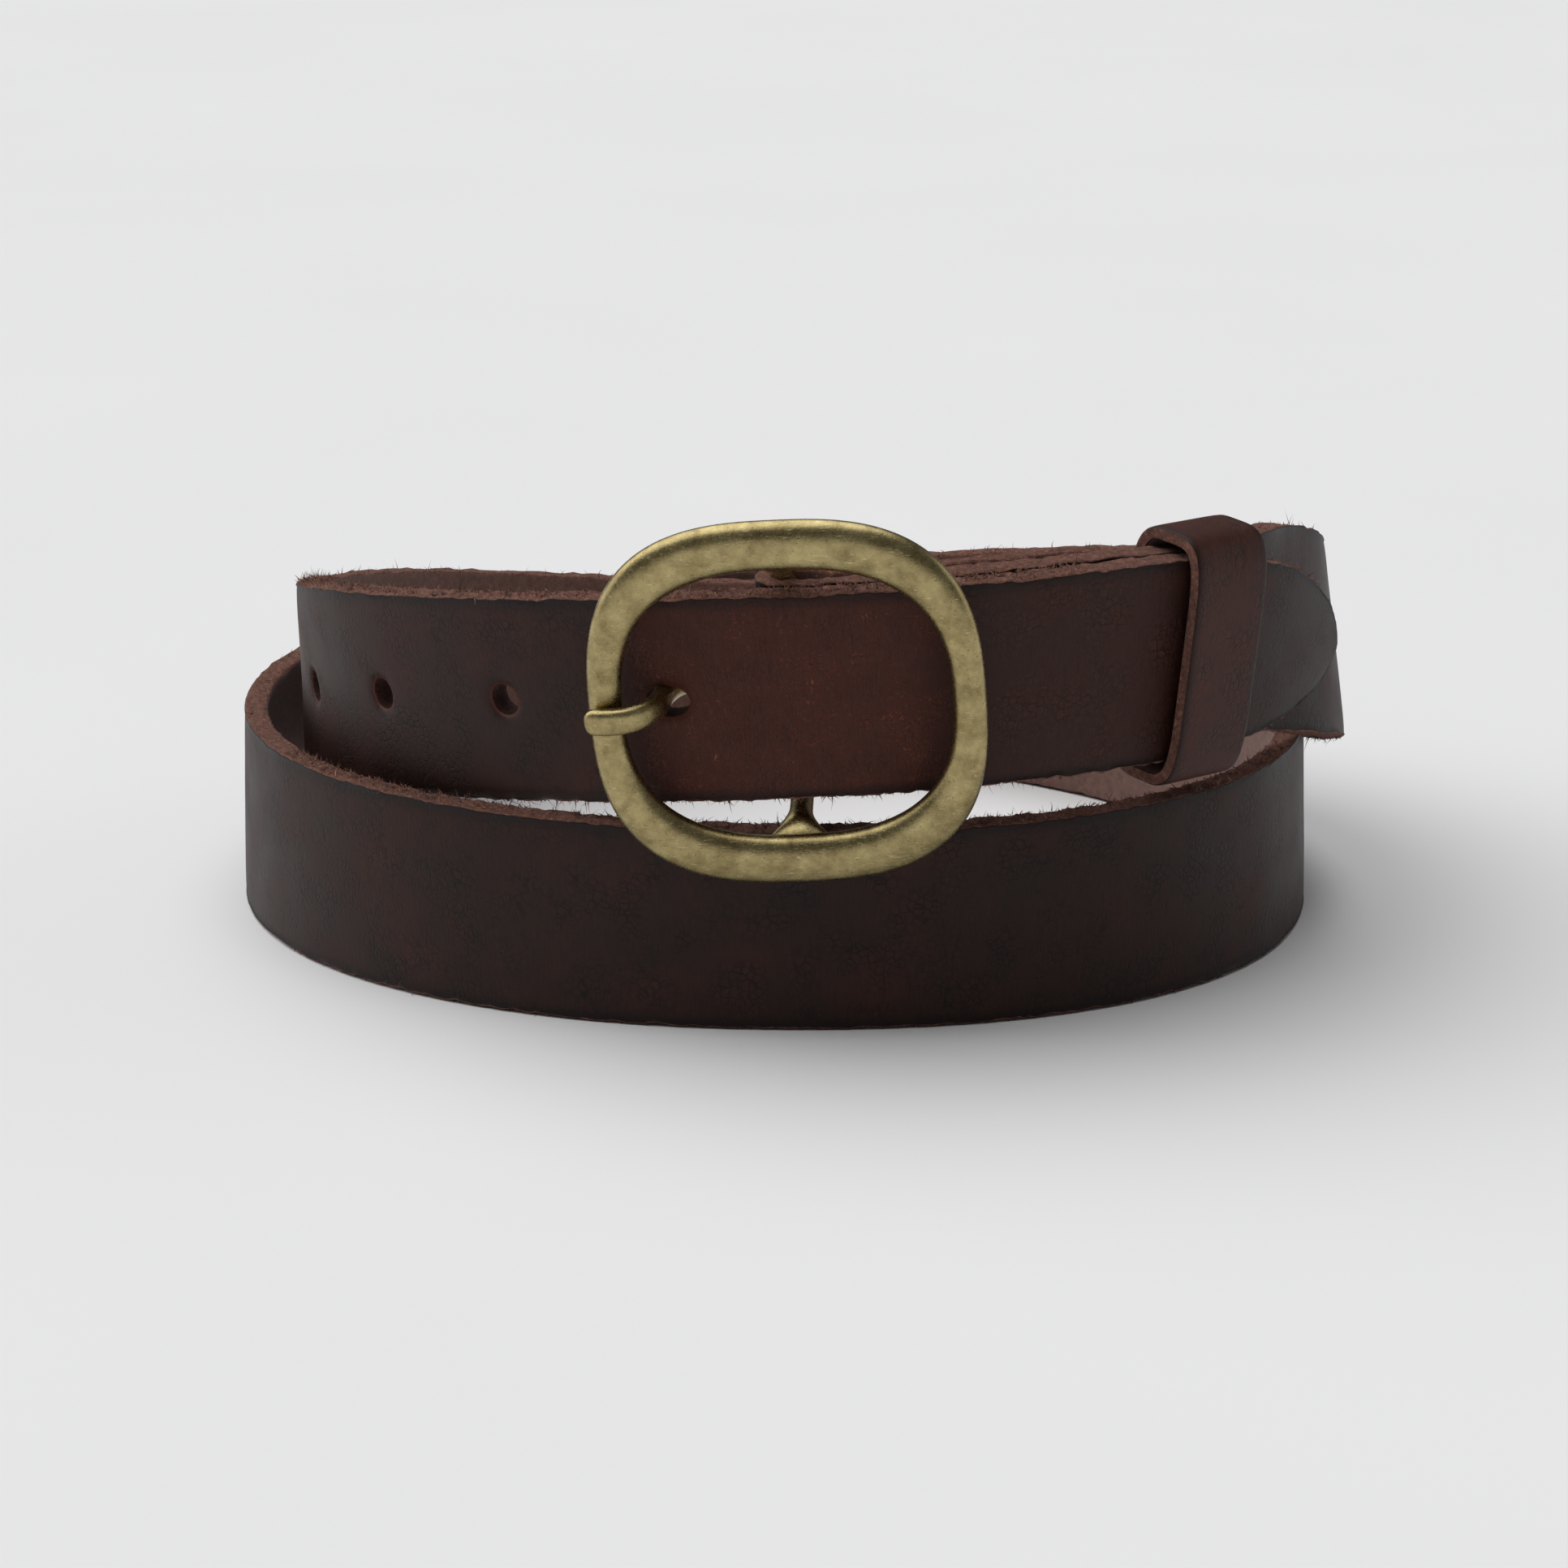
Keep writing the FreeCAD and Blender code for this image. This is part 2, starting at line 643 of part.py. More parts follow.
def make_post(name):
    """The tubular half: a flat head sunk flush in the grain, and a barrel through both layers."""
    head = cylinder(name + "Head", "Dimensions.post_head", HEAD, "-1.05")
    barrel = cylinder(name + "Barrel", "Dimensions.post_barrel", STACK + " - 0.9", "-" + STACK + " + 0.05")
    whole = doc.addObject("Part::Fuse", name + "Whole")
    whole.Base, whole.Tool = head, barrel
    bore = cylinder(name + "Bore", "(Dimensions.screw_shank + 0.1)", "20", "-21.3")
    post = doc.addObject("Part::Cut", name)
    post.Base, post.Tool = whole, bore
    return post


def make_screw(name):
    """The screw half: a flat head against the flap and a shank up the barrel."""
    head = cylinder(name + "Head", "Dimensions.post_head", HEAD, "-" + STACK + " - 1.2")
    shank = cylinder(name + "Shank", "Dimensions.screw_shank", STACK + " - 1.2", "-" + STACK + " - 0.4")
    screw = doc.addObject("Part::Fuse", name)
    screw.Base, screw.Tool = head, shank
    return screw


# ---------------------------------------------------------------------------------------------
# Placing every piece, with the origin under the middle of the whole belt
# ---------------------------------------------------------------------------------------------
strap_shape = build_strap()
keeper_depth = dim("strap_thick") + dim("layer_gap") / 2
keeper_grain, keeper_right, keeper_up, keeper_out = axes_on(route, KEEPER_TURN)
keeper_centre = keeper_grain - keeper_out * keeper_depth

frame_place = frame_placement(bar_centre, bar_right, bar_up, bar_out)
box = strap_shape.BoundBox
box.add(frame.Shape.transformed(frame_place.toMatrix()).BoundBox)
to_origin = Vector(-(box.XMin + box.XMax) / 2, -(box.YMin + box.YMax) / 2, -box.ZMin)

strap = doc.addObject("Part::Feature", "Strap")
strap.Label = "strap"
strap.Shape = strap_shape
strap.Placement = Placement(to_origin, Rotation())
for body in (frame, prong):
    body.Placement = frame_placement(bar_centre + to_origin, bar_right, bar_up, bar_out)
for body in (keeper, staple):
    square = frame_placement(keeper_centre + to_origin, keeper_right, keeper_up, keeper_out)
    body.Placement = square * Placement(Vector(0, 0, 0), Rotation(Vector(0, 0, 1), KEEPER_SKEW))

fasteners = {}
for label, maker in (("fold_posts", make_post), ("fold_screws", make_screw)):
    pair = []
    for place, reach in (("Near", dim("post_near")), ("Far", dim("post_far"))):
        item = maker(label.title().replace("_", "") + place)
        origin, right, up, out = axes_on(route, turn_at(reach))
        item.Placement = frame_placement(origin + to_origin, right, up, out)
        pair.append(item)
    group = doc.addObject("Part::Compound", label.title().replace("_", ""))
    group.Label = label
    group.Links = pair
    fasteners[label] = group
doc.recompute()

# ---------------------------------------------------------------------------------------------
# Checks and export
# ---------------------------------------------------------------------------------------------
pieces = [strap, frame, prong, keeper, staple, fasteners["fold_posts"], fasteners["fold_screws"]]
for item in doc.Objects:
    if "Invalid" in item.State or "Error" in item.State:
        raise RuntimeError("%s did not recompute: %s" % (item.Label, item.State))
for piece in pieces:
    if piece.Shape.isNull() or not piece.Shape.isValid():
        raise RuntimeError("%s has no valid shape" % piece.Label)

os.makedirs("parts", exist_ok=True)
for piece in pieces:
    piece.Shape.exportStep("parts/%s.step" % piece.Label)
    size = piece.Shape.BoundBox
    print("%-14s %2d solid(s) %9.1f mm3  %6.1f x %6.1f x %6.1f" % (
        piece.Label, len(piece.Shape.Solids), piece.Shape.Volume,
        size.XLength, size.YLength, size.ZLength))

middle = bar_centre + to_origin
print("origin moved by", to_origin)
print("bar at", middle, "axis", bar_up, "out", bar_out, "right", bar_right)
print("keeper at", keeper_centre + to_origin)
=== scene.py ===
# %% [markdown]
# # A leather belt, buckled and coiled
# A belt like this is cut from one side of thick, oiled, full-grain leather. It has a cast brass
# buckle with a centre bar, a prong, a leather keeper, and raw cut edges that are left fuzzy.
# The CAD model gives the size and the place of every piece. Here each soft piece is built again
# with its rounded corners, its punched holes and its fibres, and every piece gets a finish.

# %% Load the frame
import json
import math

import bpy
import numpy as np
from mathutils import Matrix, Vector


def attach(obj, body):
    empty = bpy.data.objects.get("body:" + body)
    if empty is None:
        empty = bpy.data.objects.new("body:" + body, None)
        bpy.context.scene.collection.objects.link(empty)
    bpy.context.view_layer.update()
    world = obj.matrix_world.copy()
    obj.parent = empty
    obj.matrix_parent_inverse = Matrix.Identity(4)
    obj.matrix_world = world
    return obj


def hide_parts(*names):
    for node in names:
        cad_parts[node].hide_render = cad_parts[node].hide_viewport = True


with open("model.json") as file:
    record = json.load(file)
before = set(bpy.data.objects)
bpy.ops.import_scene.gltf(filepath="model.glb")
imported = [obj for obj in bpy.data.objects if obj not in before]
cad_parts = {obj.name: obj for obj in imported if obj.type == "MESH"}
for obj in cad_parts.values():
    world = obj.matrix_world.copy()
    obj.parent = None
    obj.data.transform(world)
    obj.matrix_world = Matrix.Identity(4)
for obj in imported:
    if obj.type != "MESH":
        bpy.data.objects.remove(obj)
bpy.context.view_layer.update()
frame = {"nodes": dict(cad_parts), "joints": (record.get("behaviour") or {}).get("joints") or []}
MM = 0.001
SEED = 20

# %% [markdown]
# ## The camera
# A long lens at about three quarters of a metre looks down a little on the coil, so that the
# upper edges of the strap show as thin bands.

# %% Camera
CAMERA_PLACE = Vector((-1.46, -706.19, 209.94)) * MM
CAMERA_TILT = math.radians(15.29)
camera_data = bpy.data.cameras.new("camera")
camera_data.lens = 110.5
camera_data.sensor_width = 36
camera = bpy.data.objects.new("camera", camera_data)
camera.location = CAMERA_PLACE
camera.rotation_euler = (math.radians(90) - CAMERA_TILT, 0, 0)
bpy.context.scene.collection.objects.link(camera)
bpy.context.scene.camera = camera
print("camera at", [round(value / MM, 1) for value in CAMERA_PLACE], "mm")

# %% [markdown]
# ## The route of the strap
# The strap turns twice round the coil, rises behind its own tip and ends folded round the
# buckle's bar. Stations give the radius and height of the middle of the grain face, and how far
# the strap's top leans outward. A clamped cubic spline joins them.

# %% Stations of the route
STRAP_WIDTH, STRAP_THICK, FOLD_THICK = 30.0, 3.6, 2.4
LAYER_GAP, FLAP_LENGTH, TIP_LENGTH = 0.45, 45.0, 52.0
BAR_RADIUS, BAR_CLEARANCE = 1.6, 0.08
HOLE_RADIUS, HOLE_PITCH, HOLE_COUNT = 2.3, 25.4, 5
TIP_TURN, BAR_TURN, KEEPER_TURN, KEEPER_SKEW = -70.0, 1.9, -42.5, 3.0
WHOLE_BELT, FIRST_HOLE_REACH = 720.0, 17.1
POST_REACHES, POST_HOLE = (14.0, 34.0), 2.45
SLOT_REACH = 4.8

TIP_STRAND = [
    (-74.0, 82.4, 42.8, 5.0),
    (-60.0, 82.0, 47.0, 5.5),
    (-45.0, 82.2, 50.0, 6.5),
    (-20.0, 82.4, 50.9, 8.5),
    (0.0, 82.0, 49.9, 9.5),
    (30.0, 78.6, 46.0, 9.0),
    (60.0, 77.4, 40.1, 6.0),
    (90.0, 76.2, 32.4, 0.0),
    (120.0, 76.8, 25.5, -1.0),
    (150.0, 77.0, 18.4, 0.0),
]
FLOOR_STRAND = [
    (180.0, 75.5, 15.1, 0.0),
    (215.0, 71.2, 15.0, 0.0),
    (250.0, 72.5, 15.0, -1.5),
    (270.0, 75.2, 15.0, -2.0),
    (285.0, 76.2, 15.0, -1.0),
    (300.0, 77.6, 15.0, 2.0),
    (330.0, 76.8, 14.9, 6.5),
    (360.0, 74.8, 14.8, 8.0),
    (390.0, 77.9, 14.9, 6.0),
    (420.0, 83.4, 15.0, 2.5),
    (450.0, 85.6, 15.0, -1.5),
    (480.0, 86.0, 15.0, -1.0),
]
CLIMBING_STRAND = [
    (510.0, 84.0, 15.4, 0.0),
    (540.0, 82.2, 17.4, 0.0),
    (570.0, 83.0, 21.8, 0.0),
    (600.0, 83.6, 28.6, -2.0),
    (625.0, 80.6, 36.6, -7.0),
    (637.0, 79.4, 41.2, -8.0),
    (645.0, 78.7, 44.2, -7.5),
    (652.0, 77.2, 46.8, -4.5),
    (661.0, 76.2, 49.2, 4.0),
]
SHARED_TURNS = np.array([-45.0, -30.0, -15.0, 0.0, 12.0])


# %% Splines and directions
def smooth_route(stations):
    """A clamped cubic spline: the slopes at the knots make its second derivative continuous,
    and each end's slope is that of the cubic through the four nearest stations."""
    table = np.array(stations, float)
    knots, values = table[:, 0], table[:, 1:]
    gaps = np.diff(knots)[:, None]
    climbs = np.diff(values, axis=0) / gaps
    count = len(knots)
    system = np.eye(count)
    inner = np.arange(1, count - 1)
    system[inner, inner - 1] = gaps[1:, 0]
    system[inner, inner] = 2 * (gaps[1:, 0] + gaps[:-1, 0])
    system[inner, inner + 1] = gaps[:-1, 0]
    right = np.zeros_like(values)
    right[1:-1] = 3 * (gaps[1:] * climbs[:-1] + gaps[:-1] * climbs[1:])
    right[0] = np.polyfit(knots[:4] - knots[0], values[:4], 3)[2]
    right[-1] = np.polyfit(knots[-4:] - knots[-1], values[-4:], 3)[2]
    slopes = np.linalg.solve(system, right)

    def value(turns):
        turns = np.atleast_1d(np.asarray(turns, float))
        piece = np.clip(np.searchsorted(knots, turns, side="right") - 1, 0, count - 2)
        gap = gaps[piece]
        share = ((turns - knots[piece])[:, None]) / gap
        rest = 1 - share
        return (
            rest * rest * (1 + 2 * share) * values[piece]
            + share * share * (3 - 2 * share) * values[piece + 1]
            + share * rest * gap * (rest * slopes[piece] - share * slopes[piece + 1])
        )

    return value


def unit(rows):
    """Each row divided by its length."""
    return rows / np.linalg.norm(rows, axis=-1, keepdims=True)


def point_on(route, turns):
    """Cylinder coordinates turned into x, y and z: the turn runs clockwise from the front."""
    radius, height, _ = route(turns).T
    angle = np.radians(np.atleast_1d(turns))
    return np.stack([-radius * np.sin(angle), -radius * np.cos(angle), height], axis=1)


def axes_on(route, turns):
    """Middle of the grain face, direction back to the tip, width direction and grain normal."""
    turns = np.atleast_1d(np.asarray(turns, float))
    back = unit(point_on(route, turns - 0.5) - point_on(route, turns + 0.5))
    level = unit(np.cross(back, [0.0, 0.0, 1.0]))
    upright = np.cross(level, back)
    lean = np.radians(route(turns)[:, 2:3])
    width = upright * np.cos(lean) + level * np.sin(lean)
    return point_on(route, turns), back, width, np.cross(back, width)


tip_route = smooth_route(TIP_STRAND)
shared = tip_route(SHARED_TURNS)
lean = np.radians(shared[:, 2])
BEHIND_TIP = STRAP_THICK + LAYER_GAP
final_strand = np.stack([
    SHARED_TURNS + WHOLE_BELT,
    shared[:, 0] - BEHIND_TIP * np.cos(lean),
    shared[:, 1] + BEHIND_TIP * np.sin(lean),
    shared[:, 2],
], axis=1)
route = smooth_route(TIP_STRAND + FLOOR_STRAND + CLIMBING_STRAND + final_strand.tolist())

bar_turn = BAR_TURN + WHOLE_BELT
grain_at_bar, bar_right, bar_up, bar_out = (row[0] for row in axes_on(route, bar_turn))
fold_inner = BAR_RADIUS + BAR_CLEARANCE
fold_outer = fold_inner + FOLD_THICK
bar_centre = grain_at_bar - bar_out * fold_outer
joint = {item["name"]: item for item in frame["joints"]}
to_origin = np.array(joint["buckle_swivel"]["pos_m"]) / MM - bar_centre
print("the route is moved by", to_origin.round(3), "mm")

# %% [markdown]
# ## The strap as rows of sections
# Every cross-section needs a middle point, a width direction, a normal, a half-width and a
# thickness. They are computed for the tip, the two turns, the fold and the flap, and joined into
# one long set of rows. Rows fall exactly on the middles of the punched holes.

# %% Rows of sections
def eased(value, low, high):
    """0 below low, 1 above high, and share squared times (3 - 2 share) between them."""
    share = np.clip((value - low) / (high - low), 0, 1)
    return share * share * (3 - 2 * share)


def turn_at(reach):
    """The turn of the last strand at this distance to the right of the bar."""
    return bar_turn - np.degrees(reach / route(bar_turn)[0, 0])


def coil_rows(turns, half=STRAP_WIDTH / 2):
    """Rows on the coil; the last 24 mm before the bar are skived thinner."""
    middle, _, width, normal = axes_on(route, turns)
    reach = np.radians(bar_turn - turns) * route(bar_turn)[0, 0]
    thick = FOLD_THICK + (STRAP_THICK - FOLD_THICK) * eased(reach, 2.0, 24.0)
    return middle, width, normal, np.broadcast_to(half, turns.shape), thick


def tip_rows(angles):
    """Rows of the tip: along is length (1 - cos a), half-width is 15 sin a to the power 1.2."""
    swing = np.radians(angles)
    along = TIP_LENGTH * (1 - np.cos(swing))
    turns = TIP_TURN + np.degrees(along / tip_route(TIP_TURN)[0, 0])
    return coil_rows(turns, STRAP_WIDTH / 2 * np.sin(swing) ** 1.2)


def fold_rows(angles):
    """Rows of the fold, turning about the bar's axis from the front to the back."""
    swing = np.radians(angles)[:, None]
    normal = bar_out * np.cos(swing) - bar_right * np.sin(swing)
    ones = np.ones(len(angles))
    width = np.broadcast_to(bar_up, normal.shape)
    middle = bar_centre + normal * fold_outer
    return middle, width, normal, ones * STRAP_WIDTH / 2, ones * FOLD_THICK


def flap_rows(reaches):
    """Rows of the flap, which closes up against the back of the strand in front of it."""
    middle, width, normal, half, _ = coil_rows(turn_at(reaches))
    closed = STRAP_THICK + 0.15 + FOLD_THICK
    depth = 2 * fold_outer + (closed - 2 * fold_outer) * eased(reaches, 0.5, 9.0)
    return middle - normal * depth[:, None], width, -normal, half, np.full(len(reaches), FOLD_THICK)


def stepped(stops, step):
    """Values from stop to stop, evenly spaced within each stretch, about one step apart."""
    parts = [
        np.linspace(low, high, max(2, round((high - low) / step)), endpoint=False)
        for low, high in zip(stops[:-1], stops[1:])
    ]
    return np.concatenate(parts + [np.array(stops[-1:])])


tip_end = TIP_TURN + math.degrees(TIP_LENGTH / tip_route(TIP_TURN)[0, 0])
first_hole = BAR_TURN + math.degrees(FIRST_HOLE_REACH / tip_route(BAR_TURN)[0, 0])
pitch_turn = math.degrees(HOLE_PITCH / tip_route(40.0)[0, 0])
hole_turns = [first_hole + pitch_turn * index for index in range(HOLE_COUNT)]
post_turns = sorted(float(turn_at(reach)) for reach in POST_REACHES)
FINE, COARSE = 0.55, 1.3
SEEN_END, FRONT_LOW, FRONT_HIGH = hole_turns[-1] + 8, 300.0, 425.0
seen = stepped([tip_end, *hole_turns, SEEN_END], FINE)
hidden = stepped([SEEN_END, FRONT_LOW], COARSE)
front = stepped([FRONT_LOW, FRONT_HIGH], FINE * 1.1)
climb = stepped([FRONT_HIGH, post_turns[0] - 6], COARSE)
last = stepped([post_turns[0] - 6, *post_turns, float(turn_at(SLOT_REACH)), bar_turn], 0.62)
coil_turns = np.concatenate([seen[:-1], hidden[:-1], front[:-1], climb[:-1], last[:-1]])
flap_reach = stepped([0.3, SLOT_REACH, *POST_REACHES, FLAP_LENGTH], 0.9)
tip_angles = 90 * (np.arange(1, 80) / 80) ** 0.8
fold_angles = np.arange(0, 180, 6.0)
parts = [
    tip_rows(tip_angles),
    coil_rows(coil_turns),
    fold_rows(fold_angles),
    flap_rows(flap_reach),
]
middle, width, normal, half, thick = (np.concatenate(rows) for rows in zip(*parts))
along = np.concatenate([[0], np.cumsum(np.linalg.norm(np.diff(middle, axis=0), axis=1))])
coil_start, fold_start = len(tip_angles), len(tip_angles) + len(coil_turns)
flap_start = fold_start + len(fold_angles)
print("strap rows:", len(along), "length to the flap's end:", round(float(along[-1]), 1), "mm")

# %% [markdown]
# ## The strap's section and its holes
# The section is a flat bar with softly rounded corners. Each punched hole replaces a block of
# the grid: the rows and columns round the block are pulled onto the hole's ellipse, the cells
# inside it are left out, and a wall joins the grain side to the flesh side.

# %% Profile of the section
ACROSS = 31
CORNER = 0.5


def soft_profile(across, turned, wall):
    """A flat bar with quarter-round corners, walked once round from the left of its outer face.

    Offset is flat times (half-width - corner) + curl times corner, and depth is deep times
    (thickness - 2 corners) + rounded times corner.
    """
    face, turned, level = np.linspace(-1, 1, across), np.radians(turned), np.linspace(0, 1, wall)
    few, many = np.ones(len(turned)), np.ones(wall)
    swing, rest = np.sin(turned), np.cos(turned)
    flat = np.concatenate([face, few, many, few, -face, -few, -many, -few])
    curl = np.concatenate([0 * face, swing, many, rest, 0 * face, -swing, -many, -rest])
    deep = np.concatenate([0 * face, 0 * few, level, few, 1 + 0 * face, few, 1 - level, 0 * few])
    rounded = np.concatenate([
        0 * face, 1 - rest, many, 1 + swing, 2 + 0 * face, 1 + rest, many, 1 - swing])
    return flat, curl, deep, rounded


flat, curl, deep, rounded = soft_profile(ACROSS, [22.5, 45, 67.5], 6)
around_count = len(flat)
corner = np.minimum(CORNER, np.minimum(half * 0.45, thick * 0.3))[:, None]
offset = flat * (half[:, None] - corner) + curl * corner
depth = deep * (thick[:, None] - 2 * corner) + rounded * corner
typical = np.stack([offset[coil_start], depth[coil_start]], axis=1)
loop_steps = np.linalg.norm(np.roll(typical, -1, axis=0) - typical, axis=1)
around = np.concatenate([[0], np.cumsum(loop_steps)])
is_grain = np.arange(around_count) < ACROSS
FLESH = ACROSS + 12
is_flesh = (np.arange(around_count) >= FLESH) & (np.arange(around_count) < FLESH + ACROSS)
is_cut = ~is_grain & ~is_flesh
place_along = np.repeat(along[:, None], around_count, axis=1)


# %% Smooth random heights
def value_noise(x, y, size, seed):
    """Random heights from -1 to 1 on a lattice of this cell size, joined by smooth steps."""
    table = np.random.default_rng(seed).uniform(-1, 1, (256, 256))
    cell_x, cell_y = np.floor(x / size).astype(int), np.floor(y / size).astype(int)
    share_x, share_y = x / size - cell_x, y / size - cell_y
    share_x, share_y = share_x ** 2 * (3 - 2 * share_x), share_y ** 2 * (3 - 2 * share_y)
    low, high = (
        table[cell_x % 256, row % 256] * (1 - share_x) + table[(cell_x + 1) % 256, row % 256] * share_x
        for row in (cell_y, cell_y + 1)
    )
    return low * (1 - share_y) + high * share_y


ragged = (
    0.20 * value_noise(place_along, around[:-1], 0.9, SEED)
    + 0.12 * value_noise(place_along, depth * 3, 2.6, SEED + 1)
)
rough_side = np.where(is_cut, ragged, 0)
offset = offset + np.sign(flat) * (rough_side - 0.06 * is_cut)
crown = 0.22 * (np.abs(offset) / (half[:, None] + 0.01)) ** 10
depth = depth + np.where(is_grain, crown, 0)
depth = depth + np.where(is_grain, 0.05 * value_noise(place_along, offset + 40, 7.0, SEED + 2), 0)


# %% Punched holes
def row_of(turn):
    """The index of the coil row at this turn."""
    return coil_start + int(np.argmin(np.abs(coil_turns - turn)))


def flap_row(reach):
    """The index of the flap row at this distance from the bar."""
    return flap_start + int(np.argmin(np.abs(flap_reach - reach)))


def punch(centre_row, rows, columns, radius_along, radius_across, lip, lip_reach):
    """Pulls the grid round one hole onto an ellipse and sinks its rim.

    A point outside the block keeps its square distance q and its direction; near the block it
    moves to radius times q along that direction, and the pull fades out by q = 2.4.
    """
    centre_along = along[centre_row]
    block_along = abs(along[centre_row + rows] - along[centre_row - rows]) / 2
    step = (STRAP_WIDTH / 2 - CORNER) * 2 / (ACROSS - 1)
    block_across = step * columns
    reach = slice(centre_row - 6 * rows, centre_row + 6 * rows + 1)
    for side in (is_grain, is_flesh):
        a = place_along[reach][:, side] - centre_along
        c = offset[reach][:, side]
        square = np.maximum(np.maximum(np.abs(a) / block_along, np.abs(c) / block_across), 1e-6)
        direction_a, direction_c = a / block_along, c / block_across
        length = np.maximum(np.hypot(direction_a, direction_c), 1e-6)
        pull = 1 - eased(square, 1.0, 2.4)
        round_a = radius_along * square * direction_a / length
        round_c = radius_across * square * direction_c / length
        new_a, new_c = a + (round_a - a) * pull, c + (round_c - c) * pull
        beyond = np.hypot(new_a / radius_along, new_c / radius_across) - 1
        sunk = lip * np.exp(-np.maximum(beyond, 0) * radius_across / lip_reach)
        place_along[reach, side] = new_a + centre_along
        offset[reach, side] = new_c
        away = np.minimum(from_rim[reach, side], np.maximum(beyond, 0) * radius_across)
        from_rim[reach, side] = away
        depth[reach, side] += sunk if side is is_grain else -sunk * 0.25
    holes.append((centre_row, rows, columns))


from_rim = np.full(offset.shape, 99.0)
holes = []
rows_of_holes = [row_of(turn) for turn in hole_turns]
punch(rows_of_holes[0], 4, 2, HOLE_RADIUS + 1.0, HOLE_RADIUS, 0.35, 0.55)
for centre_row in rows_of_holes[1:]:
    punch(centre_row, 3, 2, HOLE_RADIUS, HOLE_RADIUS, 0.4, 0.6)
for turn in post_turns:
    punch(row_of(turn), 3, 2, POST_HOLE, POST_HOLE, 0.0, 0.3)
for reach in POST_REACHES:
    punch(flap_row(reach), 3, 2, POST_HOLE, POST_HOLE, 0.0, 0.3)
print("punched holes:", len(holes))

# %% [markdown]
# ## From arrays to a mesh
# The grid closes on itself round the section. Cells inside the holes and the prong's slot are
# left out, walls are added there, and each end gets one flat face. The texture coordinates are
# millimetres along the strap and round its section, so that patterns follow the leather.

# %% Grid to mesh
def along_frame(value):
    """The rows' middles and directions at other lengths along the strap, by straight steps."""
    return [
        np.stack([np.interp(value, along, column) for column in rows.T], axis=-1)
        for rows in (middle, width, normal)
    ]


centre, wide, outward = along_frame(place_along)
points = centre + unit(wide) * offset[..., None] - unit(outward) * depth[..., None] + to_origin
ABOVE_FLOOR = 0.02
points[..., 2] = np.maximum(points[..., 2], ABOVE_FLOOR)
row_count = len(along)
index = np.arange(row_count * around_count).reshape(row_count, around_count)
next_column = np.roll(index, -1, axis=1)
cells = np.stack([index[:-1], index[1:], next_column[1:], next_column[:-1]], axis=-1)
cell_along = np.stack([along[:-1], along[1:], along[1:], along[:-1]], axis=-1)
cell_along = np.repeat(cell_along[:, None], around_count, axis=1)
cell_around = np.stack([around[:-1], around[:-1], around[1:], around[1:]], axis=-1)
cell_around = np.repeat(cell_around[None], row_count - 1, axis=0)
keep = np.ones(cells.shape[:2], bool)
walls, wall_uv = [], []
MIDDLE = ACROSS // 2


def open_block(low_row, high_row, columns):
    """Leaves out a block of cells on both faces and joins their borders with a wall."""
    left, right = MIDDLE - columns, MIDDLE + columns
    flesh_left, flesh_right = FLESH + ACROSS - 1 - left, FLESH + ACROSS - 1 - right
    keep[low_row:high_row, left:right] = False
    keep[low_row:high_row, flesh_right:flesh_left] = False
    rows = np.arange(low_row, high_row)
    columns_up = np.arange(left, right)
    border = np.concatenate([
        np.stack([rows, np.full_like(rows, left)], axis=1),
        np.stack([np.full_like(columns_up, high_row), columns_up], axis=1),
        np.stack([rows[::-1] + 1, np.full_like(rows, right)], axis=1),
        np.stack([np.full_like(columns_up, low_row), columns_up[::-1] + 1], axis=1),
    ])
    grain = index[border[:, 0], border[:, 1]]
    flesh = index[border[:, 0], FLESH + ACROSS - 1 - border[:, 1]]
    ring = np.stack([grain, np.roll(grain, -1), np.roll(flesh, -1), flesh], axis=1)
    walls.append(ring)
    steps = np.arange(len(ring)) * 0.7
    place = along[border[:, 0]].mean() + steps
    wall_uv.append(np.stack([
        np.stack([place, place + 0.7, place + 0.7, place], axis=1),
        np.tile(around[ACROSS] + np.array([0, 0, 3.6, 3.6]), (len(ring), 1)),
    ], axis=-1))


for centre_row, rows, columns in holes:
    open_block(centre_row - rows, centre_row + rows, columns)
open_block(row_of(float(turn_at(SLOT_REACH))), flap_row(SLOT_REACH), 2)

column_slot = np.zeros(around_count, int)
column_slot[ACROSS + 1:FLESH - 1] = 1
column_slot[FLESH - 1:FLESH + ACROSS] = 2
column_slot[FLESH + ACROSS:-1] = 1
cell_slot = np.repeat(column_slot[None], row_count - 1, axis=0)


def signed_volume(points, faces):
    """Six times the volume of a closed shell of quads: the sum of a . (b x c) + a . (c x d)."""
    a, b, c, d = (points[faces[:, corner]] for corner in range(4))
    return np.einsum("ij,ij->i", a, np.cross(b, c) + np.cross(c, d)).sum()


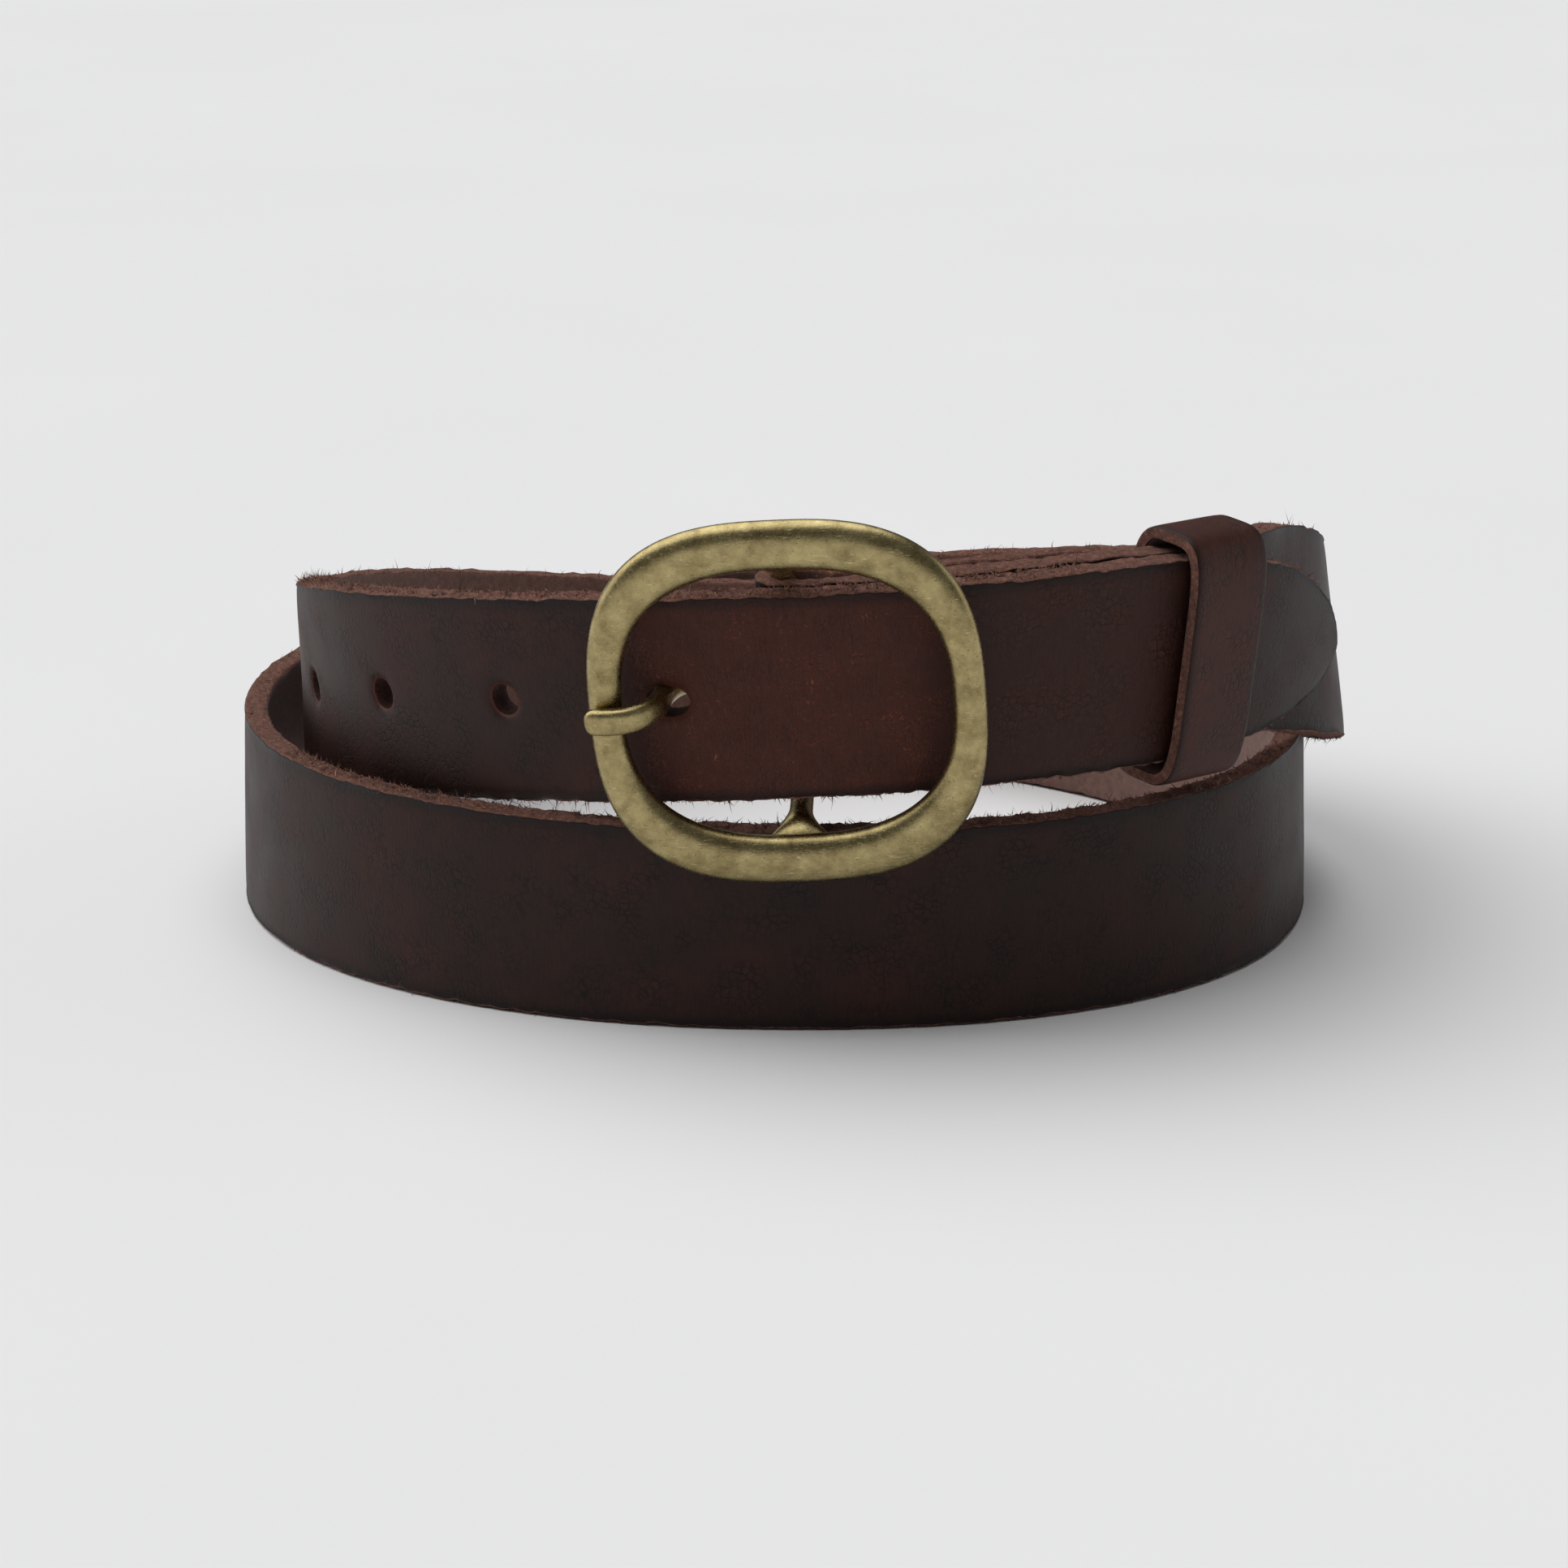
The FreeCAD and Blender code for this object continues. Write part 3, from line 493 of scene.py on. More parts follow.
def make_mesh(name, points, faces, corners=None, slots=None, values=None, caps=()):
    """A mesh from arrays: quads, then whole caps; unused points are dropped; faces look outward."""
    used = np.zeros(len(points), bool)
    used[faces.ravel()] = True
    renumber = np.cumsum(used) - 1
    placed = points[used] * MM
    faces = renumber[faces]
    caps = [renumber[np.asarray(cap)].tolist() for cap in caps]
    mesh = bpy.data.meshes.new(name)
    if signed_volume(placed, faces) < 0:
        faces = faces[:, ::-1]
        corners = None if corners is None else corners[:, ::-1]
        caps = [cap[::-1] for cap in caps]
    mesh.from_pydata(placed.tolist(), [], faces.tolist() + caps)
    if corners is not None:
        layer = mesh.uv_layers.new(name="leather")
        flat_uv = np.zeros((len(mesh.loops), 2))
        flat_uv[:corners.shape[0] * corners.shape[1]] = corners.reshape(-1, 2)
        layer.data.foreach_set("uv", (flat_uv * MM).astype(np.float32).ravel())
    if slots is not None:
        whole = np.ones(len(mesh.polygons), np.int32)
        whole[:len(slots)] = slots
        mesh.polygons.foreach_set("material_index", whole)
    for label, numbers in (values or {}).items():
        layer = mesh.attributes.new(label, "FLOAT", "POINT")
        layer.data.foreach_set("value", numbers[used].astype(np.float32))
    mesh.polygons.foreach_set("use_smooth", np.ones(len(mesh.polygons), bool))
    mesh.update()
    mesh.validate()
    print(name, "points", len(mesh.vertices), "faces", len(mesh.polygons))
    return mesh


def add_piece(name, mesh, body, materials):
    """An object at the origin that rides on a body and wears these materials."""
    piece = bpy.data.objects.new(name, mesh)
    for material in materials:
        mesh.materials.append(material)
    bpy.context.scene.collection.objects.link(piece)
    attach(piece, body)
    return piece


faces = np.concatenate([cells[keep], *walls])
corner_uv = np.stack([cell_along[keep], cell_around[keep]], axis=-1)
corner_uv = np.concatenate([corner_uv, *wall_uv])
slots = np.concatenate([cell_slot[keep], *[np.full(len(ring), 3) for ring in walls]])
from_edge = np.minimum(half[:, None] - np.abs(offset), 9.0)
from_edge = np.where(is_cut, 0, from_edge)
worn_window = (
    0.35 * eased(place_along, 34, 52) * (1 - eased(place_along, 74, 86))
    + eased(place_along, 78, 88) * (1 - eased(place_along, 120, 130)))
strap_mesh = make_mesh(
    "belt_strap", points.reshape(-1, 3), faces, corner_uv, slots,
    {"from_edge": from_edge.ravel(), "from_rim": from_rim.ravel(), "worn": worn_window.ravel()},
    caps=(index[0][::-1], index[-1]),
)

# %% [markdown]
# ## Finishes: leather
# Oiled full-grain leather is nearly black-brown, with a waxy sheen. Where it has been bent the
# oil moves away and hairline creases show redder and lighter. Where it was never bent it has
# small dark cells of grain. Its cut edge is raw: short tan and pinkish fibres, dark at the grain
# side. The flesh side is a dusty pinkish-brown suede.

# %% Colour and node helpers
def paint(code):
    """An sRGB hex colour turned to linear: ((c + 0.055) / 1.055) to the power 2.4."""
    parts = [int(code[start:start + 2], 16) / 255 for start in (1, 3, 5)]
    return (*[c / 12.92 if c <= 0.04045 else ((c + 0.055) / 1.055) ** 2.4 for c in parts], 1)


def add(tree, kind, props=None, inputs=None, stops=None):
    """Adds one node with its settings; an input is a number, a colour or another node's output."""
    made = tree.nodes.new(kind)
    for name, value in (props or {}).items():
        setattr(made, name, value)
    for name, value in (inputs or {}).items():
        if isinstance(value, bpy.types.NodeSocket):
            tree.links.new(value, made.inputs[name])
        else:
            made.inputs[name].default_value = value
    if stops:
        ramp = made.color_ramp
        while len(ramp.elements) < len(stops):
            ramp.elements.new(0.5)
        for element, (position, colour) in zip(ramp.elements, stops):
            element.position = position
            element.color = paint(colour) if isinstance(colour, str) else (colour, colour, colour, 1)
    return made


def new_material(name):
    """An empty node material with its output node."""
    material = bpy.data.materials.new(name)
    material.use_nodes = True
    material.node_tree.nodes.clear()
    return material, material.node_tree


def finish_material(tree, settings, colour, roughness, height, bump_strength, bump_distance):
    """Joins colour, roughness and height to one Principled shader and the output."""
    bump = add(tree, "ShaderNodeBump", inputs={
        "Strength": bump_strength, "Distance": bump_distance * MM, "Height": height})
    shader = add(tree, "ShaderNodeBsdfPrincipled", inputs={
        **settings, "Base Color": colour, "Roughness": roughness, "Normal": bump.outputs[0]})
    add(tree, "ShaderNodeOutputMaterial", inputs={"Surface": shader.outputs[0]})
    return shader


# %% Grain side
def grain_leather(name, dark, middle_tone, light, crease, use_worn, streaks, roughness_range):
    """Oiled full-grain leather: drifts of tone, cells, hairline creases, pores and streaks."""
    material, tree = new_material(name)
    uv = add(tree, "ShaderNodeUVMap", {"uv_map": "leather"}).outputs[0]
    mm = add(tree, "ShaderNodeVectorMath", {"operation": "SCALE"}, {0: uv, "Scale": 1 / MM}).outputs[0]

    drift = add(tree, "ShaderNodeTexNoise", inputs={
        "Vector": mm, "Scale": 1 / 16, "Detail": 5.0, "Roughness": 0.62}).outputs[0]
    tone = add(tree, "ShaderNodeValToRGB", inputs={0: drift},
               stops=[(0.3, dark), (0.52, middle_tone), (0.74, light)]).outputs[0]

    bend = add(tree, "ShaderNodeTexNoise", inputs={"Vector": mm, "Scale": 1.1, "Detail": 3.0})
    shift = add(tree, "ShaderNodeVectorMath", {"operation": "MULTIPLY_ADD"}, {
        0: bend.outputs["Color"], 1: (0.9, 0.9, 0.0), 2: mm}).outputs[0]
    squeezed = add(tree, "ShaderNodeVectorMath", {"operation": "MULTIPLY"}, {
        0: shift, 1: (1.5, 0.62, 1.0)}).outputs[0]
    lines = []
    for space, size, width in [(shift, 1.15, 0.14), (squeezed, 0.55, 0.05)]:
        away = add(tree, "ShaderNodeTexVoronoi", {"feature": "DISTANCE_TO_EDGE"}, {
            "Vector": space, "Scale": 1 / size}).outputs[0]
        lines.append(add(tree, "ShaderNodeMapRange", inputs={
            "Value": away, "From Min": 0.0, "From Max": width,
            "To Min": 1.0, "To Max": 0.0}).outputs[0])
    cell_line, hair_line = lines
    patch = add(tree, "ShaderNodeTexNoise", inputs={
        "Vector": mm, "Scale": 1 / 7, "Detail": 4.0, "Roughness": 0.6}).outputs[0]
    patch = add(tree, "ShaderNodeMapRange", inputs={
        "Value": patch, "From Min": 0.42, "From Max": 0.62}).outputs[0]

    fibre_space = add(tree, "ShaderNodeVectorMath", {"operation": "MULTIPLY"}, {
        0: mm, 1: (3.0, 0.28, 1.0)}).outputs[0]
    fibre = add(tree, "ShaderNodeTexNoise", inputs={
        "Vector": fibre_space, "Scale": 1.0, "Detail": 4.0, "Roughness": 0.7}).outputs[0]
    fine = add(tree, "ShaderNodeTexNoise", inputs={
        "Vector": mm, "Scale": 5.0, "Detail": 4.0, "Roughness": 0.75}).outputs[0]

    if use_worn:
        worn = add(tree, "ShaderNodeAttribute", {"attribute_name": "worn"}).outputs["Fac"]
    else:
        worn = add(tree, "ShaderNodeMath", {"operation": "MULTIPLY"}, {0: patch, 1: 0.15}).outputs[0]
    unworn = add(tree, "ShaderNodeMath", {"operation": "SUBTRACT"}, {0: 1.0, 1: worn}).outputs[0]
    # Bent leather warms all over, and its creases are lighter; unbent leather has dark cells.
    for factors, strength, colour in [
        ((worn,), 0.8, "#4a2319"),
        ((worn, hair_line, patch), 0.75, crease),
        ((unworn, cell_line, patch), 0.8, "#0b0808"),
    ]:
        share = strength
        for factor in factors:
            share = add(tree, "ShaderNodeMath", {"operation": "MULTIPLY"}, {
                0: factor, 1: share}).outputs[0]
        tone = add(tree, "ShaderNodeMix", {"data_type": "RGBA"}, {
            0: share, 6: tone, 7: paint(colour)}).outputs[2]
    speckle = add(tree, "ShaderNodeMapRange", inputs={
        "Value": fibre, "From Min": 0.3, "From Max": 0.7, "To Min": 0.78, "To Max": 1.25}).outputs[0]
    tone = add(tree, "ShaderNodeVectorMath", {"operation": "SCALE"}, {
        0: tone, "Scale": speckle}).outputs[0]

    # Oil gathers at the edges, and the punch leaves a redder rim round each hole.
    for label, low, high, strength, colour in [
        ("from_edge", 0.5, 2.4, 0.75, "#150c0a"), ("from_rim", 0.05, 0.6, 0.8, "#5a2d20"),
    ]:
        away = add(tree, "ShaderNodeAttribute", {"attribute_name": label}).outputs["Fac"]
        band = add(tree, "ShaderNodeMapRange", {"interpolation_type": "SMOOTHSTEP"}, {
            "Value": away, "From Min": low, "From Max": high,
            "To Min": strength, "To Max": 0.0}).outputs[0]
        tone = add(tree, "ShaderNodeMix", {"data_type": "RGBA"}, {
            0: band, 6: tone, 7: paint(colour)}).outputs[2]

    rough = add(tree, "ShaderNodeMapRange", inputs={
        "Value": drift, "From Min": 0.3, "From Max": 0.7,
        "To Min": roughness_range[0], "To Max": roughness_range[1]}).outputs[0]
    rough = add(tree, "ShaderNodeMath", {"operation": "MULTIPLY_ADD"}, {
        0: fine, 1: 0.12, 2: rough}).outputs[0]

    line_depth = add(tree, "ShaderNodeMath", {"operation": "MULTIPLY"}, {
        0: cell_line, 1: patch}).outputs[0]
    hair_depth = add(tree, "ShaderNodeMath", {"operation": "MULTIPLY"}, {
        0: hair_line, 1: worn}).outputs[0]
    height = 0.0
    for part, weight in [(line_depth, -0.55), (hair_depth, -0.5), (fine, 0.35), (fibre, streaks)]:
        height = add(tree, "ShaderNodeMath", {"operation": "MULTIPLY_ADD"}, {
            0: part, 1: weight, 2: height}).outputs[0]
    finish_material(tree, {
        "Specular IOR Level": 0.22, "IOR": 1.5}, tone, rough, height, 0.75, 0.14)
    return material


print("one Principled shader per leather, its patterns in millimetres")
strap_grain = grain_leather(
    "oiled_full_grain_leather", "#21110d", "#2d1812", "#3b1f17", "#94513a", True, 0.5, (0.36, 0.50))
keeper_grain = grain_leather(
    "smooth_keeper_leather", "#35180f", "#421f15", "#4f281c", "#8a5038", False, 0.10, (0.34, 0.46))


# %% Cut edge, flesh side and fibres
def fibrous_leather(name, colours, cell, contrast_at, sheen, bump_distance):
    """Raw leather: matted fibres as fine noise over coarser tufts, dull and a little velvety."""
    material, tree = new_material(name)
    uv = add(tree, "ShaderNodeUVMap", {"uv_map": "leather"}).outputs[0]
    mm = add(tree, "ShaderNodeVectorMath", {"operation": "SCALE"}, {0: uv, "Scale": 1 / MM}).outputs[0]
    tufts = add(tree, "ShaderNodeTexNoise", inputs={
        "Vector": mm, "Scale": 1 / cell, "Detail": 8.0, "Roughness": 0.78, "Distortion": 0.6}).outputs[0]
    fine = add(tree, "ShaderNodeTexNoise", inputs={
        "Vector": mm, "Scale": 4.0, "Detail": 5.0, "Roughness": 0.8}).outputs[0]
    mixed = add(tree, "ShaderNodeMath", {"operation": "MULTIPLY_ADD"}, {
        0: fine, 1: 0.45, 2: tufts}).outputs[0]
    low, high = contrast_at
    stops = [(low + (high - low) * place, colour) for place, colour in zip((0, 0.35, 0.7, 1), colours)]
    tone = add(tree, "ShaderNodeValToRGB", inputs={0: mixed}, stops=stops).outputs[0]
    rough = add(tree, "ShaderNodeMapRange", inputs={
        "Value": fine, "From Min": 0.3, "From Max": 0.7, "To Min": 0.82, "To Max": 1.0}).outputs[0]
    finish_material(tree, {
        "Specular IOR Level": 0.15, "Sheen Weight": sheen, "Sheen Roughness": 0.6},
        tone, rough, mixed, 0.9, bump_distance)
    return material


cut_edge = fibrous_leather(
    "raw_cut_edge", ("#2a1712", "#5c382b", "#855543", "#b98369"), 0.8, (0.5, 0.92), 0.12, 0.5)
flesh_side = fibrous_leather(
    "suede_flesh_side", ("#4a2f28", "#6a473c", "#7f594c", "#98705f"), 1.4, (0.45, 1.0), 0.25, 0.35)

# The walls of the punched holes, the post holes and the prong's slot get a darker copy of the raw edge:
# painted shade that stands in for the shadow inside each hole.
shaded_hole_wall = fibrous_leather(
    "hole_wall_painted_shade", ("#120a08", "#2a1712", "#43291f", "#6a4434"), 0.8, (0.5, 0.95), 0.05, 0.3)

strap = add_piece("belt_strap", strap_mesh, "belt",
                  [strap_grain, cut_edge, flesh_side, shaded_hole_wall])
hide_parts("strap")

# %% [markdown]
# ## Loose fibres
# The cut edges are never trimmed, so thousands of short fibres stand out of them. Each one is a
# thin three-sided tube that tapers to its end and bends; all of them are worked out together.

# %% Fibres
def fibre_arrays(roots, directions, bends, lengths, radius):
    """Tapered three-sided tubes: a point at share t is root + direction t L + bend t squared L,
    with a ring of radius r (1.08 - t) around it."""
    shares = np.array([0.0, 0.6, 1.0])
    line = (
        roots[:, None]
        + directions[:, None] * (shares[None, :, None] * lengths[:, None, None])
        + bends[:, None] * (shares[None, :, None] ** 2 * lengths[:, None, None])
    )
    side = unit(np.cross(directions, bends + 0.01))
    other = np.cross(directions, side)
    angle = np.radians([0, 120, 240])
    turned = np.cos(angle)[:, None], np.sin(angle)[:, None]
    ring = side[:, None, None] * turned[0] + other[:, None, None] * turned[1]
    size = radius[:, None, None, None] * (1.08 - shares)[:, None, None]
    points = line[:, :, None] + ring * size
    index = np.arange(len(roots) * 9).reshape(-1, 3, 3)
    turn = np.roll(index, -1, axis=2)
    faces = np.stack([index[:, :-1], turn[:, :-1], turn[:, 1:], index[:, 1:]], axis=-1)
    return points.reshape(-1, 3), faces.reshape(-1, 4)


KEEPER_SWEEP, UPPER_STRANDS = 13.0, 32.0


def edge_fibres(seed, count, low, high):
    """Fibres on both cut edges between two lengths along the strap, flattened under the keeper."""
    random = np.random.default_rng(seed)
    place = random.uniform(low, high, count)
    centre, wide, outward = along_frame(place)
    half_here = np.interp(place, along, half)
    thick_here = np.interp(place, along, thick)
    side = random.choice([-1.0, 1.0], count)
    ahead = unit(np.cross(wide, outward))
    level = random.uniform(0.08, 1.0, count) ** 0.9
    out = wide * side[:, None]
    sideways, inward = side * (half_here - 0.15), level * thick_here
    roots = centre + wide * sideways[:, None] - outward * inward[:, None] + to_origin
    directions = unit(
        out * random.uniform(0.25, 1.0, count)[:, None]
        + ahead * random.normal(0, 0.8, count)[:, None]
        + outward * random.normal(0, 0.45, count)[:, None]
    )
    bends = random.normal(0, 0.45, (count, 3))
    lengths = np.clip(random.lognormal(-0.55, 0.42, count), 0.25, 1.5)
    turn = np.degrees(np.arctan2(-roots[:, 0], -roots[:, 1]))
    under_keeper = (np.abs(turn - KEEPER_TURN) < KEEPER_SWEEP) & (roots[:, 2] > UPPER_STRANDS)
    lengths = np.where(under_keeper, 0.12, lengths)
    radius = np.where(under_keeper, 0.03, random.uniform(0.05, 0.12, count))
    return fibre_arrays(roots, directions, bends, lengths, radius)


seen_end = float(along[row_of(SEEN_END)])
front_low, front_high = float(along[row_of(295)]), float(along[row_of(FRONT_HIGH)])
batches = [
    edge_fibres(SEED + 5, 7500, 12.0, seen_end),
    edge_fibres(SEED + 6, 900, seen_end, front_low),
    edge_fibres(SEED + 7, 4000, front_low, front_high),
    edge_fibres(SEED + 8, 1500, front_high, float(along[fold_start])),
]
starts = np.cumsum([0] + [len(batch[0]) for batch in batches[:-1]])
fibre_points = np.concatenate([batch[0] for batch in batches])
fibre_points[:, 2] = np.maximum(fibre_points[:, 2], ABOVE_FLOOR)
fibre_faces = np.concatenate([batch[1] + start for batch, start in zip(batches, starts)])


def fibre_finish():
    """Single leather fibres: tan to reddish brown, dull."""
    material, tree = new_material("loose_leather_fibre")
    place = add(tree, "ShaderNodeTexCoord").outputs["Object"]
    tone_noise = add(tree, "ShaderNodeTexNoise", inputs={
        "Vector": place, "Scale": 1 / (1.3 * MM), "Detail": 2.0}).outputs[0]
    tone = add(tree, "ShaderNodeValToRGB", inputs={0: tone_noise},
               stops=[(0.3, "#3a211a"), (0.5, "#6f4636"), (0.7, "#a87a63")]).outputs[0]
    finish_material(
        tree, {"Specular IOR Level": 0.2, "Sheen Weight": 0.2}, tone, 0.9, tone_noise, 0.1, 0.02)
    return material


print("fibres:", len(fibre_faces) // 6)
fibre_mesh = make_mesh("edge_fibres", fibre_points, fibre_faces)
fibres = add_piece("edge_fibres", fibre_mesh, "belt", [fibre_finish()])

# %% [markdown]
# ## The keeper
# The keeper is a thinner strip of smoother leather bent into a loop. Its inside is a
# superellipse that just clears the two layers of strap, so that its front is a little bowed, and
# a flat section with soft corners is carried round it.

# %% Keeper loop
KEEPER_WIDTH, KEEPER_THICK = 14.0, 1.9
KEEPER_HIGH, KEEPER_DEEP, KEEPER_POWER = 16.4, 4.9, 5.0
keeper_base, keeper_right, keeper_up, keeper_out = (row[0] for row in axes_on(route, KEEPER_TURN))
keeper_centre = keeper_base - keeper_out * (STRAP_THICK + LAYER_GAP / 2) + to_origin
skew = math.radians(KEEPER_SKEW)
keeper_x = keeper_right * math.cos(skew) + keeper_up * math.sin(skew)
keeper_y = keeper_up * math.cos(skew) - keeper_right * math.sin(skew)


def superellipse(count, high, deep, power):
    """Points evenly spaced on |y/high|^p + |z/deep|^p = 1, and their outward normals."""
    turn = np.linspace(0, 2 * math.pi, 4001)
    y = high * np.sign(np.cos(turn)) * np.abs(np.cos(turn)) ** (2 / power)
    z = deep * np.sign(np.sin(turn)) * np.abs(np.sin(turn)) ** (2 / power)
    run = np.concatenate([[0], np.cumsum(np.hypot(np.diff(y), np.diff(z)))])
    even = np.linspace(0, run[-1], count, endpoint=False)
    y, z = np.interp(even, run, y), np.interp(even, run, z)
    flow = np.stack([np.roll(y, -1) - np.roll(y, 1), np.roll(z, -1) - np.roll(z, 1)], axis=1)
    flow = unit(flow)
    return y, z, flow[:, 1], -flow[:, 0], even


LOOP_COUNT = 240
loop_y, loop_z, out_y, out_z, loop_run = superellipse(
    LOOP_COUNT, KEEPER_HIGH, KEEPER_DEEP, KEEPER_POWER)
wide_count, soft = 25, 0.35
k_flat, k_curl, k_deep, k_round = soft_profile(wide_count, [30, 60], 4)
k_x = k_flat * (KEEPER_WIDTH / 2 - soft) + k_curl * soft
k_depth = k_deep * (KEEPER_THICK - 2 * soft) + k_round * soft
k_count = len(k_x)
run_grid = np.repeat(loop_run[:, None], k_count, axis=1)
k_cut = np.abs(k_x) > KEEPER_WIDTH / 2 - 0.02
k_rough = 0.1 * value_noise(run_grid, k_depth * 2, 0.9, SEED + 11)
x_grid = k_x + np.sign(k_x) * np.where(k_cut, k_rough - 0.05, 0)
rise = KEEPER_THICK - k_depth - 0.12 * (np.abs(k_x) / (KEEPER_WIDTH / 2)) ** 8 * (k_deep < 0.5)
loop_points = (
    keeper_centre
    + keeper_x * x_grid[..., None]
    + keeper_y * (loop_y[:, None] + out_y[:, None] * rise)[..., None]
    + keeper_out * (loop_z[:, None] + out_z[:, None] * rise)[..., None]
)
k_index = np.arange(LOOP_COUNT * k_count).reshape(LOOP_COUNT, k_count)
k_cells = np.stack([
    k_index, np.roll(k_index, -1, axis=0),
    np.roll(np.roll(k_index, -1, axis=0), -1, axis=1), np.roll(k_index, -1, axis=1)], axis=-1)
k_steps = np.hypot(np.roll(k_x, -1) - k_x, np.roll(k_depth, -1) - k_depth)
k_around = np.concatenate([[0], np.cumsum(k_steps)])
run_next = np.concatenate([loop_run[1:], [loop_run[-1] + loop_run[1]]])
cell_run = np.stack([loop_run, run_next, run_next, loop_run], axis=1)[:, None]
cell_round = np.stack([k_around[:-1], k_around[:-1], k_around[1:], k_around[1:]], axis=1)[None]
k_uv = np.stack(np.broadcast_arrays(cell_round, cell_run), axis=-1)
k_slot = np.zeros(k_count, int)
k_slot[wide_count + 1:wide_count + 6] = 1
k_slot[wide_count + 7:2 * wide_count + 8] = 2
k_slot[2 * wide_count + 9:-2] = 1
keeper_mesh = make_mesh(
    "keeper_loop_leather", loop_points.reshape(-1, 3), k_cells.reshape(-1, 4), k_uv.reshape(-1, 4, 2),
    np.repeat(k_slot[None], LOOP_COUNT, axis=0).ravel(),
    {"from_edge": (KEEPER_WIDTH / 2 - np.abs(x_grid)).ravel() + 0.6,
     "from_rim": np.full(LOOP_COUNT * k_count, 9.0), "worn": np.zeros(LOOP_COUNT * k_count)},
)
keeper = add_piece("keeper_loop_leather", keeper_mesh, "keeper",
                   [keeper_grain, cut_edge, flesh_side])
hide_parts("keeper_loop")

# %% [markdown]
# ## The buckle and its prong
# The buckle is one casting: a rounded ring whose section is an ellipse, wide at the top and
# bottom and narrow at the sides, with a centre bar set behind it on two short arms that flare into
# the ring. The prong is a bar with rounded edges, curled round the centre bar. All of them are
# sections carried along a path.

# %% Sections carried along a path
RING_LONG, RING_HIGH, RING_SIDE, RING_TOP, RING_THICK = 26.9, 26.5, 4.6, 7.0, 4.2
BAR_DEPTH, PRONG_SKEW = 9.6, math.radians(0.3)
buckle_centre = bar_centre + to_origin


def faced_outward(points, faces, caps=()):
    """Turns every face of a closed shell round if its signed volume is below zero."""
    if signed_volume(points, faces) < 0:
        return points, faces[:, ::-1], [cap[::-1] for cap in caps]
    return points, faces, list(caps)


def carried(line, side, face, wide, deep, power, count, closed=False):
    """A shell: at each place of the line, side times wide times u plus face times deep times v,
    where |u|^power + |v|^power = 1."""
    turn = np.linspace(0, 2 * math.pi, count, endpoint=False)
    u = np.sign(np.cos(turn)) * np.abs(np.cos(turn)) ** (2 / power)
    v = np.sign(np.sin(turn)) * np.abs(np.sin(turn)) ** (2 / power)
    points = (
        line[:, None]
        + side[:, None] * (wide[:, None] * u)[..., None]
        + face[:, None] * (deep[:, None] * v)[..., None]
    )
    index = np.arange(len(line) * count).reshape(len(line), count)
    after = np.roll(index, -1, axis=0)
    cells = np.stack([index, after, np.roll(after, -1, axis=1), np.roll(index, -1, axis=1)], axis=-1)
    cells = cells if closed else cells[:-1]
    caps = [] if closed else [index[0][::-1], index[-1]]
    return faced_outward(points.reshape(-1, 3), cells.reshape(-1, 4), caps)


def joined(shells):
    """Several shells as one set of points, faces and caps."""
    starts = np.cumsum([0] + [len(shell[0]) for shell in shells[:-1]])
    points = np.concatenate([shell[0] for shell in shells])
    faces = np.concatenate([shell[1] + start for shell, start in zip(shells, starts)])
    caps = [cap + start for shell, start in zip(shells, starts) for cap in shell[2]]
    return points, faces, caps


def in_buckle(x, y, z, skew=0.0):
    """Buckle coordinates turned into place: x along the belt, y along the bar, z outward."""
    along_axis = bar_right * math.cos(skew) + bar_up * math.sin(skew)
    across_axis = bar_up * math.cos(skew) - bar_right * math.sin(skew)
    return (
        buckle_centre + np.multiply.outer(x, along_axis)
        + np.multiply.outer(y, across_axis) + np.multiply.outer(z, bar_out)
    )


# %% Ring, bar and arms
def oval(turn, long, high, power):
    """Distance from the middle of |x/long|^power + |y/high|^power = 1 in this direction."""
    return (np.abs(np.cos(turn) / long) ** power + np.abs(np.sin(turn) / high) ** power) ** (-1 / power)


ring_turn = np.linspace(0, 2 * math.pi, 320, endpoint=False)
far = oval(ring_turn, RING_LONG, RING_HIGH, 2.75)
near = oval(ring_turn, RING_LONG - RING_SIDE, RING_HIGH - RING_TOP, 2.6)
ring_line = in_buckle(
    (far + near) / 2 * np.cos(ring_turn), (far + near) / 2 * np.sin(ring_turn),
    np.full(320, BAR_DEPTH))
ring_side = in_buckle(np.cos(ring_turn), np.sin(ring_turn), 0 * ring_turn) - buckle_centre
ring_shell = carried(
    ring_line, ring_side, np.broadcast_to(bar_out, ring_side.shape),
    (far - near) / 2, np.full(320, RING_THICK / 2), 2.0, 48, closed=True)

ARM_STATIONS = [
    (0.0, 23.0, 9.4, 5.6, 1.1), (1.0, 20.9, 8.6, 4.8, 1.3), (2.0, 19.6, 7.0, 2.9, 1.5),
    (3.0, 19.1, 4.6, 1.8, 1.6), (4.0, 18.8, 2.2, 1.6, 1.6), (5.0, 17.9, 0.5, 1.6, 1.6),
    (6.0, 16.2, 0.0, 1.6, 1.6), (7.0, 14.0, 0.0, 1.6, 1.6), (8.0, 10.0, 0.0, 1.6, 1.6),
]
upper = np.array(ARM_STATIONS)
lower = upper[::-1] * (1, -1, 1, 1, 1)
lower[:, 0] = 17 - lower[:, 0]
bar_path = smooth_route(np.concatenate([upper, lower]).tolist())
bar_y, bar_z, bar_wide, bar_deep = bar_path(np.linspace(0, 17, 170)).T
bar_flow = unit(np.stack([np.gradient(bar_y), np.gradient(bar_z)], axis=1))
bar_line = in_buckle(0 * bar_y, bar_y, bar_z)
bar_face = in_buckle(0 * bar_y, -bar_flow[:, 1], bar_flow[:, 0]) - buckle_centre
bar_shell = carried(
    bar_line, np.broadcast_to(bar_right, bar_face.shape), bar_face, bar_wide, bar_deep, 2.0, 28)
buckle_points, buckle_faces, buckle_caps = joined([ring_shell, bar_shell])
